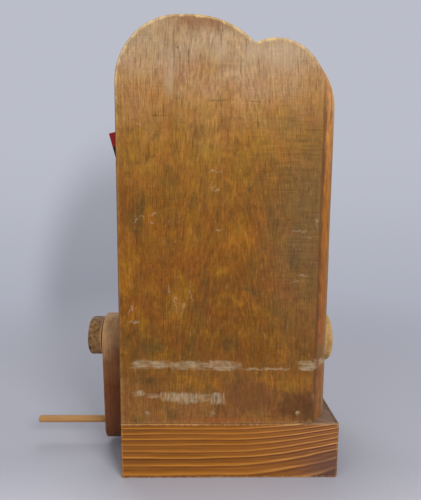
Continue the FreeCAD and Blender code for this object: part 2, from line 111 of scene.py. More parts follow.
class AutomatonSizes(bpy.types.PropertyGroup):
    """Small sizes that the solids leave out."""
    board_ease: length("Board edge", "Rounding of a sawn board's edges", 0.5)
    panel_ease: length("Panel edge", "Rounding of the back panel's rubbed edges", 0.9)
    base_ease: length("Base edge", "Rounding of the base block's edges", 0.7)
    trim_ease: length("Trim edge", "Rounding of thin painted trim", 0.25)
    nail_crown: length("Nail crown", "Height of a nail head's dome", 0.25)
    nail_set: length("Nail set", "How deep the panel's nails are driven", 0.3)
    screw_slot: length("Screw slot", "Width of a screw's cross slot", 0.9)
    shingle_rows: IntProperty(name="Shingle rows", description="Courses from eave to ridge",
                              default=6, min=1, max=20)
    shingle_columns: IntProperty(name="Shingle columns", description="Shingles in a course",
                                 default=9, min=1, max=40)
    shingle_thickness: length("Shingle thickness", "Thickness of one roof shingle", 0.9)
    glazing_bar: length("Glazing bar", "Width of a window's crossed bars", 0.9)
    plank_gap: length("Plank gap", "Groove between the door's planks", 0.3)


class AutomatonColours(bpy.types.PropertyGroup):
    """Main colours of woods and paints."""
    panel_foot: colour("Panel foot", "Redder stain near the panel's foot", "895B2F")
    panel_stain: colour("Panel stain", "Golden brown stain in the panel's middle", "85551B")
    panel_greyed: colour("Panel greyed", "Bleached wood near the panel's top", "AC8862")
    panel_olive: colour("Panel olive", "Dull patch on the panel's far side", "705636")
    slant_stain: colour("Slanted edge", "Orange stain of the panel's slanted edge", "B67A3C")
    base_light: colour("Base latewood", "Golden bands of the base block", "C2843A")
    base_dark: colour("Base earlywood", "Red-brown bands of the base block", "5E341E")
    arm_brown: colour("Arm brown", "Dark wood of the crank arm", "754324")
    dowel_wood: colour("Dowel", "Bare dowel wood", "AC8150")
    box_brown: colour("Box wood", "Stained wood of the mechanism box", "7B5226")
    sail_black: colour("Sail black", "Black paint of the sails", "1E2222")
    sail_red: colour("Sail red", "Red band along each sail", "A32A2A")
    sky_blue: colour("Sky", "Sky paint on the panel's front", "8FAFC2")
    grass_green: colour("Grass", "Green paint of the stage", "66803F")
    mill_white: colour("Mill white", "Off-white paint of the mill tower", "DDD5BF")
    roof_red: colour("Roof", "Paint of the roof shingles", "7E3A2B")


class AutomatonStage(bpy.types.PropertyGroup):
    """Floor, light and camera."""
    floor_solid: length("Solid floor", "Floor radius that is fully seen", 190.0)
    floor_edge: length("Floor edge", "Where the floor has faded out", 620.0)
    floor_colour: colour("Floor", "Pale cloth under the part", "B0B1BB")
    # painted light: paler cloth behind the part, standing in for light that falls short there
    floor_near: colour("Floor, near", "Pale cloth behind the part", "D2D1DA")
    backdrop_high: colour("Backdrop, high", "Plain colour behind the part's top", "BBBEC9")
    backdrop_low: colour("Backdrop, low", "Plain colour behind the part's foot", "AAADB9")
    sky_strength: FloatProperty(name="Sky light", description="Even light from all sides",
                                default=0.44, min=0.0)
    key_power: FloatProperty(name="Key light", description="Soft lamp, in watts", unit="POWER",
                             default=8.2, min=0.0)
    side_power: FloatProperty(name="Side light", description="Weak soft lamp, in watts",
                              unit="POWER", default=1.8, min=0.0)
    front_power: FloatProperty(name="Front light", description="Soft lamp in front, in watts",
                               unit="POWER", default=5.0, min=0.0)
    camera_place: FloatVectorProperty(name="Camera place", description="Where the camera stands",
                                      subtype="TRANSLATION", size=3, precision=4,
                                      default=(0.0185, 0.2923, 0.1813))
    camera_pitch: FloatProperty(name="Camera pitch", description="How far it looks down",
                                subtype="ANGLE", default=math.radians(6.52))
    camera_yaw: FloatProperty(name="Camera yaw", description="Turn about the upright",
                              subtype="ANGLE", default=math.radians(-1.04))
    camera_roll: FloatProperty(name="Camera roll", description="Turn about its own axis",
                               subtype="ANGLE", default=math.radians(0.43))
    camera_lens: FloatProperty(name="Lens", description="Focal length on a 36 mm wide sensor",
                               unit="CAMERA", default=36.0 * 400 / 421)


# ---- nodes ----
def add(tree, kind, inputs=(), stops=(), **settings):
    """Add one node: its kind and operation, its inputs by name or in order (values, hex
    colours, or nodes to link), a ramp's stops, and its other settings."""
    kind, _, operation = kind.partition(" ")
    known = kind.startswith(("GeometryNode", "FunctionNode", "NodeGroup"))
    new = tree.nodes.new(kind if known else "ShaderNode" + kind)
    if operation:
        new.operation = operation
    for name, value in settings.items():
        setattr(new, name, value)
    if not isinstance(inputs, dict):
        inputs = dict(enumerate(inputs))
    for name, value in inputs.items():
        if isinstance(value, bpy.types.Node):
            value = next(socket for socket in value.outputs if socket.enabled)
        if isinstance(value, str):
            value = srgb(value)
        if isinstance(value, bpy.types.NodeSocket):
            tree.links.new(value, new.inputs[name])
        else:
            new.inputs[name].default_value = value
    for index, (place, shade) in enumerate(stops):
        ramp = new.color_ramp.elements
        stop = ramp[index] if index < 2 else ramp.new(place)
        stop.position = place
        stop.color = srgb(shade) if isinstance(shade, str) else shade
    return new


def laid(tree, shade, *layers):
    """A colour under layers of (colour, mask) or (colour, mask, most), the last on top."""
    for over, where, *most in layers:
        if most:
            where = add(tree, "Math MULTIPLY", [where, *most])
        shade = add(tree, "Mix", {0: where, 6: shade, 7: over}, data_type="RGBA")
    return shade


def blank_surface(name):
    """A named material's empty tree, and the place on the piece in millimetres."""
    material = bpy.data.materials.new(name)
    material.use_nodes = True
    tree = material.node_tree
    tree.nodes.clear()
    place = add(tree, "TexCoord").outputs["Object"]
    point = add(tree, "VectorMath SCALE", {0: place, "Scale": 1 / MM})
    return material, tree, point


def finish_surface(tree, shade, roughness, height, depth, metallic=0.0):
    """Close a material: colour, roughness, and a relief `depth` millimetres high."""
    relief = add(tree, "Bump", {"Height": height, "Distance": depth * MM})
    shader = add(tree, "BsdfPrincipled", {"Base Color": shade, "Roughness": roughness,
                                          "Normal": relief, "Specular IOR Level": 0.1,
                                          "Metallic": metallic})
    add(tree, "OutputMaterial", {"Surface": shader})


def grain(tree, point, size, seed=0.0, detail=2.0, curl=0.0):
    """Cloudy noise from 0 to 1 whose grains are `size` millimetres along X, Y and Z."""
    placed = add(tree, "Mapping", {"Vector": point, "Location": (seed, seed * 2.3, seed * 3.7),
                                   "Scale": [1.0 / s for s in size]})
    noise = add(tree, "TexNoise", {"Vector": placed, "Scale": 1.0, "Detail": detail,
                                   "Distortion": curl})
    return add(tree, "MapRange", [noise, 0.25, 0.75])


def tone(tree, *layers):
    """Brightness about 1 from (pattern, amount) pairs; an amount is the whole swing."""
    total = 1.0 - sum(amount for _, amount in layers) / 2
    for pattern, amount in layers:
        total = add(tree, "Math MULTIPLY_ADD", [pattern, amount, total])
    return total


def toned(tree, shade, *layers):
    """A colour whose brightness (pattern, amount) pairs swing."""
    return add(tree, "HueSaturation", {"Color": shade, "Value": tone(tree, *layers)})


def faded(tree, pattern, where):
    """A pattern that settles to its middle value where `where` falls to 0."""
    return add(tree, "Mix", {0: where, 2: 0.5, 3: pattern})


def marks(tree, point, places, soft=0.5, boxy=False):
    """1 inside soft ellipsoids, given as (centre, half sizes, lean in degrees about Y).
    Boxy ones fill more of their corners."""
    found = 0.0
    for centre, size, lean in places:
        local = add(tree, "Mapping", {"Vector": point, "Location": centre, "Scale": size,
                                      "Rotation": (0.0, math.radians(lean), 0.0)},
                                      vector_type="TEXTURE")
        if boxy:
            local = add(tree, "VectorMath MULTIPLY", [local, local])
        reach = add(tree, "VectorMath LENGTH", [local])
        inside = add(tree, "MapRange", [reach, 1.0, 1.0 - soft], **SMOOTH)
        found = add(tree, "Math MAXIMUM", [inside, found])
    return found


def broken(tree, mask, pattern, amount=0.6, sharp=0.25):
    """A mask worn away where a pattern is high."""
    worn = add(tree, "Math MULTIPLY_ADD", [pattern, -amount, mask])
    return add(tree, "MapRange", [worn, 0.05, 0.05 + sharp], **SMOOTH)


def rubbed(tree, point, reach, seed=0.0, gaps=0.5):
    """1 along outer edges, fading over `reach` millimetres, with gaps."""
    thin = add(tree, "AmbientOcclusion", {"Distance": reach * MM}, samples=8, inside=True,
               only_local=True).outputs["AO"]
    edge = add(tree, "MapRange", [thin, 0.92, 0.5])
    return broken(tree, edge, grain(tree, point, (3, 3, 5), seed), gaps)


def gap_shaded(tree, shade, reach):
    """A colour darkened with painted shade in the gaps between pieces, `reach` millimetres wide.
    """
    open_air = add(tree, "AmbientOcclusion", {"Distance": reach * MM}, samples=8).outputs["AO"]
    # painted shade: darker where nearby surfaces close in, as in a shaded gap
    gap_shade = add(tree, "MapRange", [open_air, 0.75, 0.25, 0.0, 0.85])
    return laid(tree, shade, ("20120A", gap_shade))


def on_back(deep, *rows):
    """Places for marks() on the panel's back, from rows of across, up, half width, half
    height and, where it leans, degrees."""
    return [((across, BACK, up), (wide, deep, tall), lean[0] if lean else 0)
            for across, up, wide, tall, *lean in rows]


def normal_axes(tree):
    """X, Y and Z of the way a face looks, before any relief."""
    return add(tree, "SeparateXYZ", [add(tree, "NewGeometry").outputs["True Normal"]]).outputs


def jittered(tree, point, scale, reach):
    """Places pushed up to `reach` millimetres either way, which frays the marks made there."""
    noise = add(tree, "TexNoise", {"Vector": point, "Scale": scale, "Detail": 2.0})
    pushed = add(tree, "VectorMath MULTIPLY_ADD", [noise.outputs["Color"], [2 * reach] * 3, point])
    return add(tree, "VectorMath SUBTRACT", [pushed, [reach] * 3])


# ---- the back panel's board ----
def wiped_stain(tree, point, up, colours):
    """Brown stain, redder at the foot and greyed at the top, with blotches: orange where it
    stayed wet, umber where dirt was rubbed in, dull on the far side."""
    clouds = grain(tree, point, (30, 60, 26), 1, 3.0)
    level = add(tree, "MapRange", [up, 38.0, 294.0, -0.06, 0.94])
    level = add(tree, "Math MULTIPLY_ADD", [clouds, 0.12, level])
    shade = add(tree, "ValToRGB", [level], [(0.02, colours.panel_foot), (0.2, "7C4E1A"),
                                            (0.4, "855019"), (0.55, colours.panel_stain),
                                            (0.7, "986729"), (0.8, "AA7B46"), (0.87, "AE8862"),
                                            (0.93, "B19371"), (1.0, colours.panel_greyed)])
    worked = add(tree, "MapRange", [up, 262.0, 190.0, 0.25, 1.0])
    wet_places = on_back(9, (34, 122, 11, 26), (-6, 160, 14, 15), (66, 140, 8, 60),
                         (-35, 136, 12, 12), (0, 196, 12, 22), (22, 66, 24, 7), (-30, 68, 26, 12))
    dirt_places = on_back(9, (50, 90, 26, 9), (-10, 132, 15, 26), (18, 128, 5, 24), (2, 92, 10, 8),
                          (-38, 150, 9, 26), (54, 68, 20, 7), (20, 226, 24, 6, -6),
                          (-33, 232, 16, 7, 8), (-50, 50, 12, 8), (60, 176, 9, 20),
                          (26, 284, 14, 6), (-48, 48, 14, 14))
    for places, seed, code, most in ((wet_places, 21, "A66E1E", 0.62),
                                     (dirt_places, 25, "5A4624", 0.7)):
        cloudy = grain(tree, point, (9, 20, 13), seed, 5.0, 0.8)
        spread = add(tree, "Math MULTIPLY_ADD", [marks(tree, point, places, 1.0), 0.42, cloudy])
        amount = add(tree, "MapRange", [spread, 0.5, 1.1, 0.0, most])
        amount = add(tree, "Math MULTIPLY", [amount, worked])
        shade = laid(tree, shade, (code, amount))
    dull = marks(tree, point, on_back(30, (-50, 160, 46, 104)), 0.9)
    return laid(tree, shade, (colours.panel_olive, dull, 0.7))


def growth_arches(tree, point, across, up):
    """Growth lines: steep nested arches about a line 3 mm off the middle, 17 mm apart, the
    main one topping out 227 mm up."""
    pitch, main_top, middle, wander, steepness = 17.0, 227.0, 3.0, 12.0, 0.14
    off = add(tree, "Math SUBTRACT", [across, middle])
    bow = add(tree, "Math POWER", [off, 2.0])
    bow = add(tree, "Math MULTIPLY_ADD", [bow, steepness, up])
    bow = add(tree, "Math MULTIPLY_ADD", [grain(tree, point, (12, 40, 40), 3), wander, bow])
    bow = add(tree, "Math SUBTRACT", [bow, main_top + wander / 2])
    arch = add(tree, "Math DIVIDE", [bow, pitch / (2 * math.pi)])
    arch = add(tree, "Math COSINE", [arch])
    return add(tree, "MapRange", [arch, 0.5, 1.0])


def birch_figure(tree, point, shade, across, up, streaks, flecks, blotches):
    """A stained colour with the board's own figure: streaks and flecks along the grain, arched
    growth lines, and a ripple across them on the far side, where the wiping rag turned."""
    ripple_places = on_back(30, (-36, 214, 46, 52), (-52, 150, 40, 75))
    ripple_zone = marks(tree, point, ripple_places, 0.8)
    calm = add(tree, "Math MULTIPLY_ADD", [ripple_zone, -0.7, 1.0])
    ripple = faded(tree, grain(tree, point, (16, 4, 1.0), 4, 3.0, 0.5), ripple_zone)
    cross = grain(tree, point, (9, 4, 1.0), 10)
    specks = grain(tree, point, (1.1, 2, 1.3), 45)
    bright = tone(tree, (faded(tree, streaks, calm), 0.28), (faded(tree, flecks, calm), 0.40),
                  (blotches, 0.34), (growth_arches(tree, point, across, up), 0.16),
                  (ripple, 0.44), (cross, 0.14), (specks, 0.16))
    hue = add(tree, "MapRange", [grain(tree, point, (11, 30, 16), 19, 3.0), 0.0, 1.0, 0.492, 0.51])
    shade = add(tree, "HueSaturation", {"Color": shade, "Hue": hue, "Value": bright})
    # open pores: thin dark lines along the grain
    pores = add(tree, "MapRange", [grain(tree, point, (0.8, 2, 9), 31), 0.66, 0.95, 0.0, 0.5])
    return laid(tree, shade, ("56391E", pores))


def handled_marks(tree, point, shade, shaky, flecks, blotches):
    """A colour with what use has left: redder stain along the crest, an edge and the foot,
    light flecks, bleached streaks near the top, a pin knot and rubbed dark lines."""
    for row, code, most in (((18, 289, 40, 11), "86583A", 0.6),
                            ((68, 176, 6, 50), "7A481C", 0.6),
                            ((-12, 56, 40, 24), "6A4226", 0.66),
                            ((-44, 50, 34, 22), "55321E", 0.72),
                            ((6, 40.5, 66, 3.6), "96562A", 0.6)):
        amount = broken(tree, marks(tree, point, on_back(9, row), 1.0), blotches, 0.4, 0.7)
        shade = laid(tree, shade, (code, amount, most))
    missed = add(tree, "MapRange", [grain(tree, point, (0.8, 2, 5), 8), 0.76, 1.05, 0.0, 0.36])
    bleach_places = on_back(9, (39, 256, 7, 24), (-26, 268, 30, 26, 10), (10, 272, 14, 16),
                            (-12, 271, 15, 15))
    bleached = broken(tree, marks(tree, point, bleach_places, 1.0),
                      grain(tree, point, (1.8, 3, 16), 49, 4.0, 0.4), 0.55, 0.7)
    line_places = on_back(9, (34.6, 273, 4.5, 1.4, -25), (45, 234, 15, 1.1, 2),
                          (9, 243.2, 17, 1.0, 3), (-12, 243, 15, 1.0, -4), (-4, 233, 2.5, 1.2),
                          (22, 137, 4, 1.2, 20), (-4, 187, 2, 1.6), (-40, 142, 4, 1.6, 40),
                          (51, 210, 8, 1.0, -6), (-28, 43.4, 17, 1.5), (-54.2, 86.6, 2.8, 2.4))
    dark = broken(tree, marks(tree, shaky, line_places, 1.0), flecks, 0.5, 0.9)
    return laid(tree, shade, ("B98D55", missed), ("BBA283", bleached, 0.46),
                ("4E3420", dark, 0.5))


def scuffs(tree, point, shaky):
    """Where the board is scuffed to pale wood: a band dragged sideways across the foot, one
    combed by the grain below it, fainter ones between, and hair scratches higher up."""
    dragged_places = on_back(9, (57, 78.8, 12, 5.2, 2), (47, 78.6, 16, 4.4), (36, 78.4, 8, 3.8),
                             (26, 79, 13, 4.2), (15, 78.2, 7, 3.6), (6, 79.6, 15, 3.2, -3),
                             (3, 76.4, 15, 2.8, 5), (-22, 75.6, 24, 1.5), (-50, 79, 12, 4.2, 3),
                             (-51, 76.2, 13, 2.8)) + [((-62, 39, 77.6), (9, 14, 4.2), -6)]
    combed_places = on_back(9, (37, 56.8, 15, 5.6, -3), (27, 55.6, 14, 6.2, 2),
                            (8.6, 55.6, 8.4, 7), (59.6, 59, 7, 3.0, 6))
    faint_places = on_back(9, (24, 76.6, 22, 2.6), (4, 77.6, 17, 5.4), (50, 57.4, 9, 2.8, -6),
                           (18, 56, 8, 4.6))
    scratch_places = on_back(6, (13.2, 201.8, 5, 1.2, 22), (9.6, 201, 5, 1.2, -14),
                             (13, 191.4, 4, 1.0, 30), (10.5, 190, 4, 1.0, -8),
                             (9.4, 165.5, 2.2, 3), (57, 229, 3, 0.9), (60, 171.4, 4.4, 1.2, 40),
                             (57, 173.6, 4.4, 1.0, -20), (49, 175, 5, 1.1, 6), (49.6, 170, 3, 1.4),
                             (64, 115, 8, 0.9, 60), (62, 107, 8, 0.9, -12), (36, 119, 1.3, 12, 8),
                             (31, 116, 1.2, 9, -10), (40, 128, 1.1, 7, 4), (26, 124, 1.1, 8, 16),
                             (-44, 137, 9, 0.9, 6), (-40, 133, 8, 0.8, 12), (-42, 165, 10, 0.8, 4),
                             (-46, 161, 8, 0.8, -5), (-52, 170, 1.0, 8, 10),
                             (-56.9, 85.6, 3.6, 2.0, -12), (-54.4, 56, 2.4, 4.6, 8),
                             (-57, 46, 1.6, 3.4, 20), (44, 289, 1.8, 3), (35, 293, 1.6, 2),
                             (11, 292, 1.8, 2.6), (55.5, 45.6, 3.4, 0.6, 8))
    scratched = marks(tree, jittered(tree, point, 0.5, 2.5), scratch_places, 1.0)
    bare = broken(tree, scratched, grain(tree, point, (2.0, 3, 2.0), 11), 0.4, 1.0)
    bare = add(tree, "Math MULTIPLY", [bare, 0.72])
    frayed = grain(tree, point, (2.4, 3, 2.4), 33, 3.0)
    combed = grain(tree, point, (0.9, 3, 6), 9, 4.0)
    combed = add(tree, "Math MULTIPLY_ADD", [frayed, 0.5, combed])
    dragged = grain(tree, point, (7, 3, 1.1), 53, 4.0, 0.4)
    dragged = add(tree, "Math MULTIPLY_ADD", [frayed, 0.55, dragged])
    for places, pattern, most in ((dragged_places, dragged, 0.95), (combed_places, combed, 1.0),
                                  (faint_places, dragged, 0.6)):
        scuffed = broken(tree, marks(tree, shaky, places, 1.0, boxy=True), pattern, 0.62, 0.8)
        scuffed = add(tree, "Math MULTIPLY", [scuffed, most])
        bare = add(tree, "Math MAXIMUM", [scuffed, bare])
    return add(tree, "Math MULTIPLY", [bare, 0.6])


def slanted_cut(tree, point, shaky, depth, up, colours):
    """The board's sawn edge: end grain drank more stain and looks orange, with red streaks, a
    ragged line of painted shade where the cut meets the back and a thin dark stripe at its
    outer edge."""
    level = add(tree, "MapRange", [up, 40.0, 270.0])
    shade = add(tree, "ValToRGB", [level], [(0.05, "8A5A30"), (0.15, "8E5C30"), (0.3, "9A5E2A"),
                                            (0.6, "A26622"), (0.78, colours.slant_stain),
                                            (0.95, "C48E58")])
    shade = toned(tree, shade, (grain(tree, point, (1.8, 1.8, 18), 12, 3.0), 0.42),
                  (grain(tree, point, (3, 3, 6), 13, 4.0, 0.5), 0.5))
    streaks = grain(tree, point, (3.0, 3.0, 13), 14, 4.0)
    red = add(tree, "MapRange", [streaks, 0.45, 0.8, 0.0, 0.55])
    greyed = marks(tree, shaky, [((-66, 38, 81), (30, 14, 8), -24)], 0.6)
    # painted shade: a ragged dark line along the edge where the cut meets the back
    ragged = add(tree, "Math MULTIPLY_ADD", [grain(tree, point, (4, 4, 9), 47, 4.0), 4.4, depth])
    crease_shade = add(tree, "MapRange", [ragged, 41.8, 44.4, 0.0, 0.78])
    lower = add(tree, "MapRange", [up, 262.0, 238.0, 0.3])
    crease_shade = add(tree, "Math MULTIPLY", [crease_shade, lower])
    outer = add(tree, "MapRange", [depth, 36.0, 34.4, 0.0, 0.6])
    return laid(tree, shade, ("84401C", red), ("77592F", greyed, 0.75), ("5E3E20", crease_shade),
                ("6E5038", outer))


def sky_paint(tree, point, colours):
    """Pale blue poster paint with thin clouds, brushed sideways."""
    clouds = add(tree, "MapRange", [grain(tree, point, (34, 60, 15), 15, 4.0), 0.55, 0.8],
                 **SMOOTH)
    sky = laid(tree, colours.sky_blue, ("E4E4DC", clouds))
    return toned(tree, sky, (grain(tree, point, (22, 60, 1.2), 16), 0.1))


def stained_birch_board(colours):
    """Birch board, wiped with brown stain: streaked along the grain, blotched where hands and
    damp moved the stain, greyed at the top, scuffed down to pale wood at the foot and rubbed
    golden along the rim, which is partly a painted highlight of light from above.  The front
    carries sky paint, which reaches over the front edge."""
    material, tree, point = blank_surface("wiped_stain_birch_board")
    across, depth, up = add(tree, "SeparateXYZ", [point]).outputs
    streaks = grain(tree, point, (1.3, 3, 40), 5, 3.0)
    flecks = grain(tree, point, (1.0, 2, 5), 6, 3.0, 0.8)
    blotches = grain(tree, point, (4, 20, 7), 7, 5.0, 0.8)
    shaky = jittered(tree, point, 0.22, 1.1)
    shade = wiped_stain(tree, point, up, colours)
    shade = birch_figure(tree, point, shade, across, up, streaks, flecks, blotches)
    shade = handled_marks(tree, point, shade, shaky, flecks, blotches)
    sideways = add(tree, "Math ABSOLUTE", [normal_axes(tree)["X"]])
    on_edge = add(tree, "MapRange", [sideways, 0.45, 0.6])
    front = add(tree, "MapRange", [depth, 33.2, 32.8])
    painted = broken(tree, front, grain(tree, point, (4, 4, 4), 17), 0.35, 0.2)
    # the rim is rubbed most over the top, and its pale gold there is partly a painted highlight of
    # light from above
    rub_and_highlight_level = add(tree, "MapRange", [up, 225.0, 275.0, 0.12, 1.0])
    worn = add(tree, "Math MULTIPLY", [rubbed(tree, point, 3.6, 18, 0.55), rub_and_highlight_level])
    shade = laid(tree, shade, (slanted_cut(tree, point, shaky, depth, up, colours), on_edge),
                 ("BCAB8C", scuffs(tree, point, shaky)),
                 (sky_paint(tree, point, colours), painted), ("DDBD88", worn))
    rough = add(tree, "MapRange", [blotches, 0.0, 1.0, 0.5, 0.64])
    relief = add(tree, "Math ADD", [flecks, streaks])
    finish_surface(tree, shade, rough, relief, 0.05)
    return material


# ---- other woods ----
def fir_years(tree, point, far, depth, up):
    """Years counted outwards from a pith below the block, which sweeps up towards the far
    end.  They get thinner upwards: about 6 mm each at the foot, 3.5 mm at the top."""
    pith_depth, pith_drop, block_height = 10.0, 80.0, 38.0
    foot_sweep, top_sweep = -15.0, -7.0
    sweep = add(tree, "Math POWER", [far, 2.0])
    swept = add(tree, "MapRange", [up, 0.0, block_height, foot_sweep, top_sweep])
    rise = add(tree, "Math MULTIPLY_ADD", [sweep, swept, up])
    offset = add(tree, "Math SUBTRACT", [depth, pith_depth])
    drop = add(tree, "Math ADD", [rise, pith_drop])
    spoke = add(tree, "CombineXYZ", [offset, drop])
    radius = add(tree, "VectorMath LENGTH", [spoke])
    beyond_foot = add(tree, "Math SUBTRACT", [radius, math.hypot(BACK - pith_depth, pith_drop)])
    curved = add(tree, "Math MULTIPLY_ADD", [beyond_foot, -0.0028, -0.133])
    years = add(tree, "Math MULTIPLY_ADD", [beyond_foot, curved, 6.25])
    return add(tree, "Math MULTIPLY_ADD", [grain(tree, point, (70, 30, 9), 1), 0.32, years])


def stained_fir_block(colours):
    """Fir block, dark stain: soft earlywood drinks the stain, hard latewood stays golden, and
    the far end is darker and redder."""
    material, tree, point = blank_surface("stained_fir_block")
    across, depth, up = add(tree, "SeparateXYZ", [point]).outputs
    far = add(tree, "MapRange", [across, 2.0, -71.5])
    years = fir_years(tree, point, far, depth, up)
    ring = add(tree, "Math FRACT", [years])
    shade = add(tree, "ValToRGB", [ring], [(0.0, "B07020"), (0.13, colours.base_light),
                                           (0.21, "9A5E24"), (0.28, colours.base_dark),
                                           (0.37, "77461E"), (0.55, "8C561C"), (0.72, "7C4A20"),
                                           (0.88, "9C6020"), (1.0, "B07020")])
    far_shade = add(tree, "ValToRGB", [ring], [(0.0, "C8864A"), (0.09, "E0A870"), (0.18, "7E4C30"),
                                               (0.26, "40282E"), (0.4, "5A3A32"), (0.62, "92603A"),
                                               (0.82, "6A4434"), (0.92, "8E5E3C"),
                                               (1.0, "C8864A")])
    darkening = add(tree, "Math POWER", [far, 1.4])
    each_year = add(tree, "Math FLOOR", [years])
    each_year = add(tree, "TexWhiteNoise", {"W": each_year}, noise_dimensions="1D")
    fine = grain(tree, point, (45, 3, 0.8), 2, 3.0)
    dashes = grain(tree, point, (14, 3, 0.9), 3, 3.0)
    patches = grain(tree, point, (30, 20, 8), 4, 3.0)
    plain = add(tree, "MapRange", [patches, 0.3, 0.8, 0.0, 0.3])
    shade = laid(tree, shade, (far_shade, darkening), ("995F26", each_year, 0.32),
                 ("925B26", plain))
    shade = toned(tree, shade, (fine, 0.26), (dashes, 0.2), (patches, 0.14))
    # hands browned the crank's end
    handled = add(tree, "MapRange", [across, 5.0, 72.0, 1.04, 0.95])
    shade = add(tree, "HueSaturation", {"Color": shade, "Value": handled})
    # dull at the far foot, and on the top's far end and along its far arris
    facing = normal_axes(tree)
    foot = marks(tree, point, on_back(60, (-70, 8, 34, 17, 10)), 0.9)
    shade = laid(tree, shade, ("604640", foot, 0.75))
    for centre, size, code, most in (((-66, 10, 40), (40, 160, 20), "86705E", 0.85),
                                     ((-72, 10, 38), (3.4, 160, 6), "4A3C3A", 0.8)):
        dull = marks(tree, point, [(centre, size, 0)], 0.9)
        dull = add(tree, "Math MULTIPLY", [dull, most])
        on_top = add(tree, "Math MULTIPLY", [dull, facing["Z"]], use_clamp=True)
        shade = laid(tree, shade, (code, on_top))
    end_grain = add(tree, "Math ABSOLUTE", [facing["X"]])
    shade = laid(tree, shade, ("5A3A22", end_grain, 0.55),
                 ("C29A68", rubbed(tree, point, 2.2, 5, 0.5), 0.55))
    rough = add(tree, "MapRange", [fine, 0.0, 1.0, 0.42, 0.56])
    finish_surface(tree, shade, rough, ring, 0.06)
    return material


def stained_box_board(colours):
    """Softwood board with the same brown stain, upright grain: dull, with darker lines."""
    material, tree, point = blank_surface("stained_softwood_board")
    streaks = grain(tree, point, (2, 3, 55), 1)
    fine = grain(tree, point, (0.8, 0.8, 18), 2)
    patches = grain(tree, point, (20, 14, 26), 3)
    shade = laid(tree, "68421E", (colours.box_brown, streaks))
    shade = toned(tree, shade, (fine, 0.18), (patches, 0.22))
    shade = laid(tree, shade, ("B58F5E", rubbed(tree, point, 1.6, 4, 0.5), 0.7))
    finish_surface(tree, shade, 0.55, fine, 0.05)
    return material


def stained_crank_arm(colours):
    """Hardwood arm, dark stain rubbed by hands: a lighter, greyer round head, painted shade
    towards the panel, and painted shade in the gaps where it meets other pieces."""
    material, tree, point = blank_surface("hand_rubbed_dark_arm")
    across, _, up = add(tree, "SeparateXYZ", [point]).outputs
    level = add(tree, "MapRange", [up, 4.0, 101.0])
    patches = grain(tree, point, (8, 12, 18), 1, 3.0)
    level = add(tree, "Math MULTIPLY_ADD", [patches, 0.16, level])
    shade = add(tree, "ValToRGB", [level], [(0.1, "70452E"), (0.58, colours.arm_brown),
                                            (0.76, "885A38"), (0.88, "A07652"), (1.0, "AC855C")])
    # painted shade: darker towards the panel, which shades this side, and lighter on the outer
    # side
    shade_from_panel = add(tree, "MapRange", [across, 75.0, 90.0, 0.72, 1.2])
    shade = add(tree, "HueSaturation", {"Color": shade, "Value": shade_from_panel})
    streaks = grain(tree, point, (1.6, 3, 30), 2, 3.0)
    fine = grain(tree, point, (0.9, 0.9, 7), 3, 3.0)
    mottle = grain(tree, point, (4, 4, 5), 4, 4.0)
    shade = toned(tree, shade, (streaks, 0.46), (fine, 0.24), (mottle, 0.3))
    shade = laid(tree, shade, ("A98258", rubbed(tree, point, 2.4, 5, 0.5), 0.45))
    # painted shade in the gaps beside the cap and the panel
    shade = gap_shaded(tree, shade, 2.5)
    finish_surface(tree, shade, 0.48, fine, 0.05)
    return material


def end_rings(tree, point, patches):
    """Growth rings on a turned end, about a pith just off the shaft's middle."""
    pith, wobble, closeness = (0.0, -4.0, 76.0), 1.2, 2.1
    from_pith = add(tree, "VectorMath SUBTRACT", [point, pith])
    from_pith = add(tree, "VectorMath MULTIPLY", [from_pith, (0, 1, 1)])
    from_pith = add(tree, "VectorMath LENGTH", [from_pith])
    years = add(tree, "Math MULTIPLY_ADD", [patches, wobble, from_pith])
    years = add(tree, "Math MULTIPLY", [years, closeness])
    years = add(tree, "Math SINE", [years])
    return add(tree, "MapRange", [years, -1.0])


def turned_cap_wood(name, low, high):
    """Turned beech cap, old oil: browner patches, lathe rings, growth rings on the flat ends,
    a rubbed pale rim, and painted shade where it meets other pieces."""
    material, tree, point = blank_surface(name)
    patches = grain(tree, point, (3.4, 2.8, 3.6), 1, 4.0, 0.6)
    lathe = grain(tree, point, (0.9, 30, 30), 2)
    flecks = grain(tree, point, (3, 1.0, 1.0), 3, 3.0)
    flat_end = add(tree, "Math ABSOLUTE", [normal_axes(tree)["X"]])
    flat_end = add(tree, "MapRange", [flat_end, 0.8])
    calmed = add(tree, "Math MULTIPLY", [flat_end, 0.6])
    shade = laid(tree, low, (high, patches), (laid(tree, low, (high, 0.55)), calmed))
    years = faded(tree, end_rings(tree, point, patches), flat_end)
    shade = toned(tree, shade, (lathe, 0.16), (flecks, 0.2), (years, 0.22))
    shade = laid(tree, shade, ("BC9868", rubbed(tree, point, 2.4, 4, 0.6), 0.55))
    # painted shade in the gaps between the cap and the pieces beside it
    shade = gap_shaded(tree, shade, 2.5)
    finish_surface(tree, shade, 0.5, lathe, 0.04)
    return material


def bare_dowel_wood(colours, name, size):
    """Bare ramin dowel: plain tan with fine long pores, slightly shiny from handling."""
    material, tree, point = blank_surface(name)
    pores = grain(tree, point, size, 1)
    patches = grain(tree, point, [12 if s > 5 else 6 for s in size], 2)
    shade = toned(tree, colours.dowel_wood, (pores, 0.24), (patches, 0.14))
    finish_surface(tree, shade, 0.45, pores, 0.03)
    return material


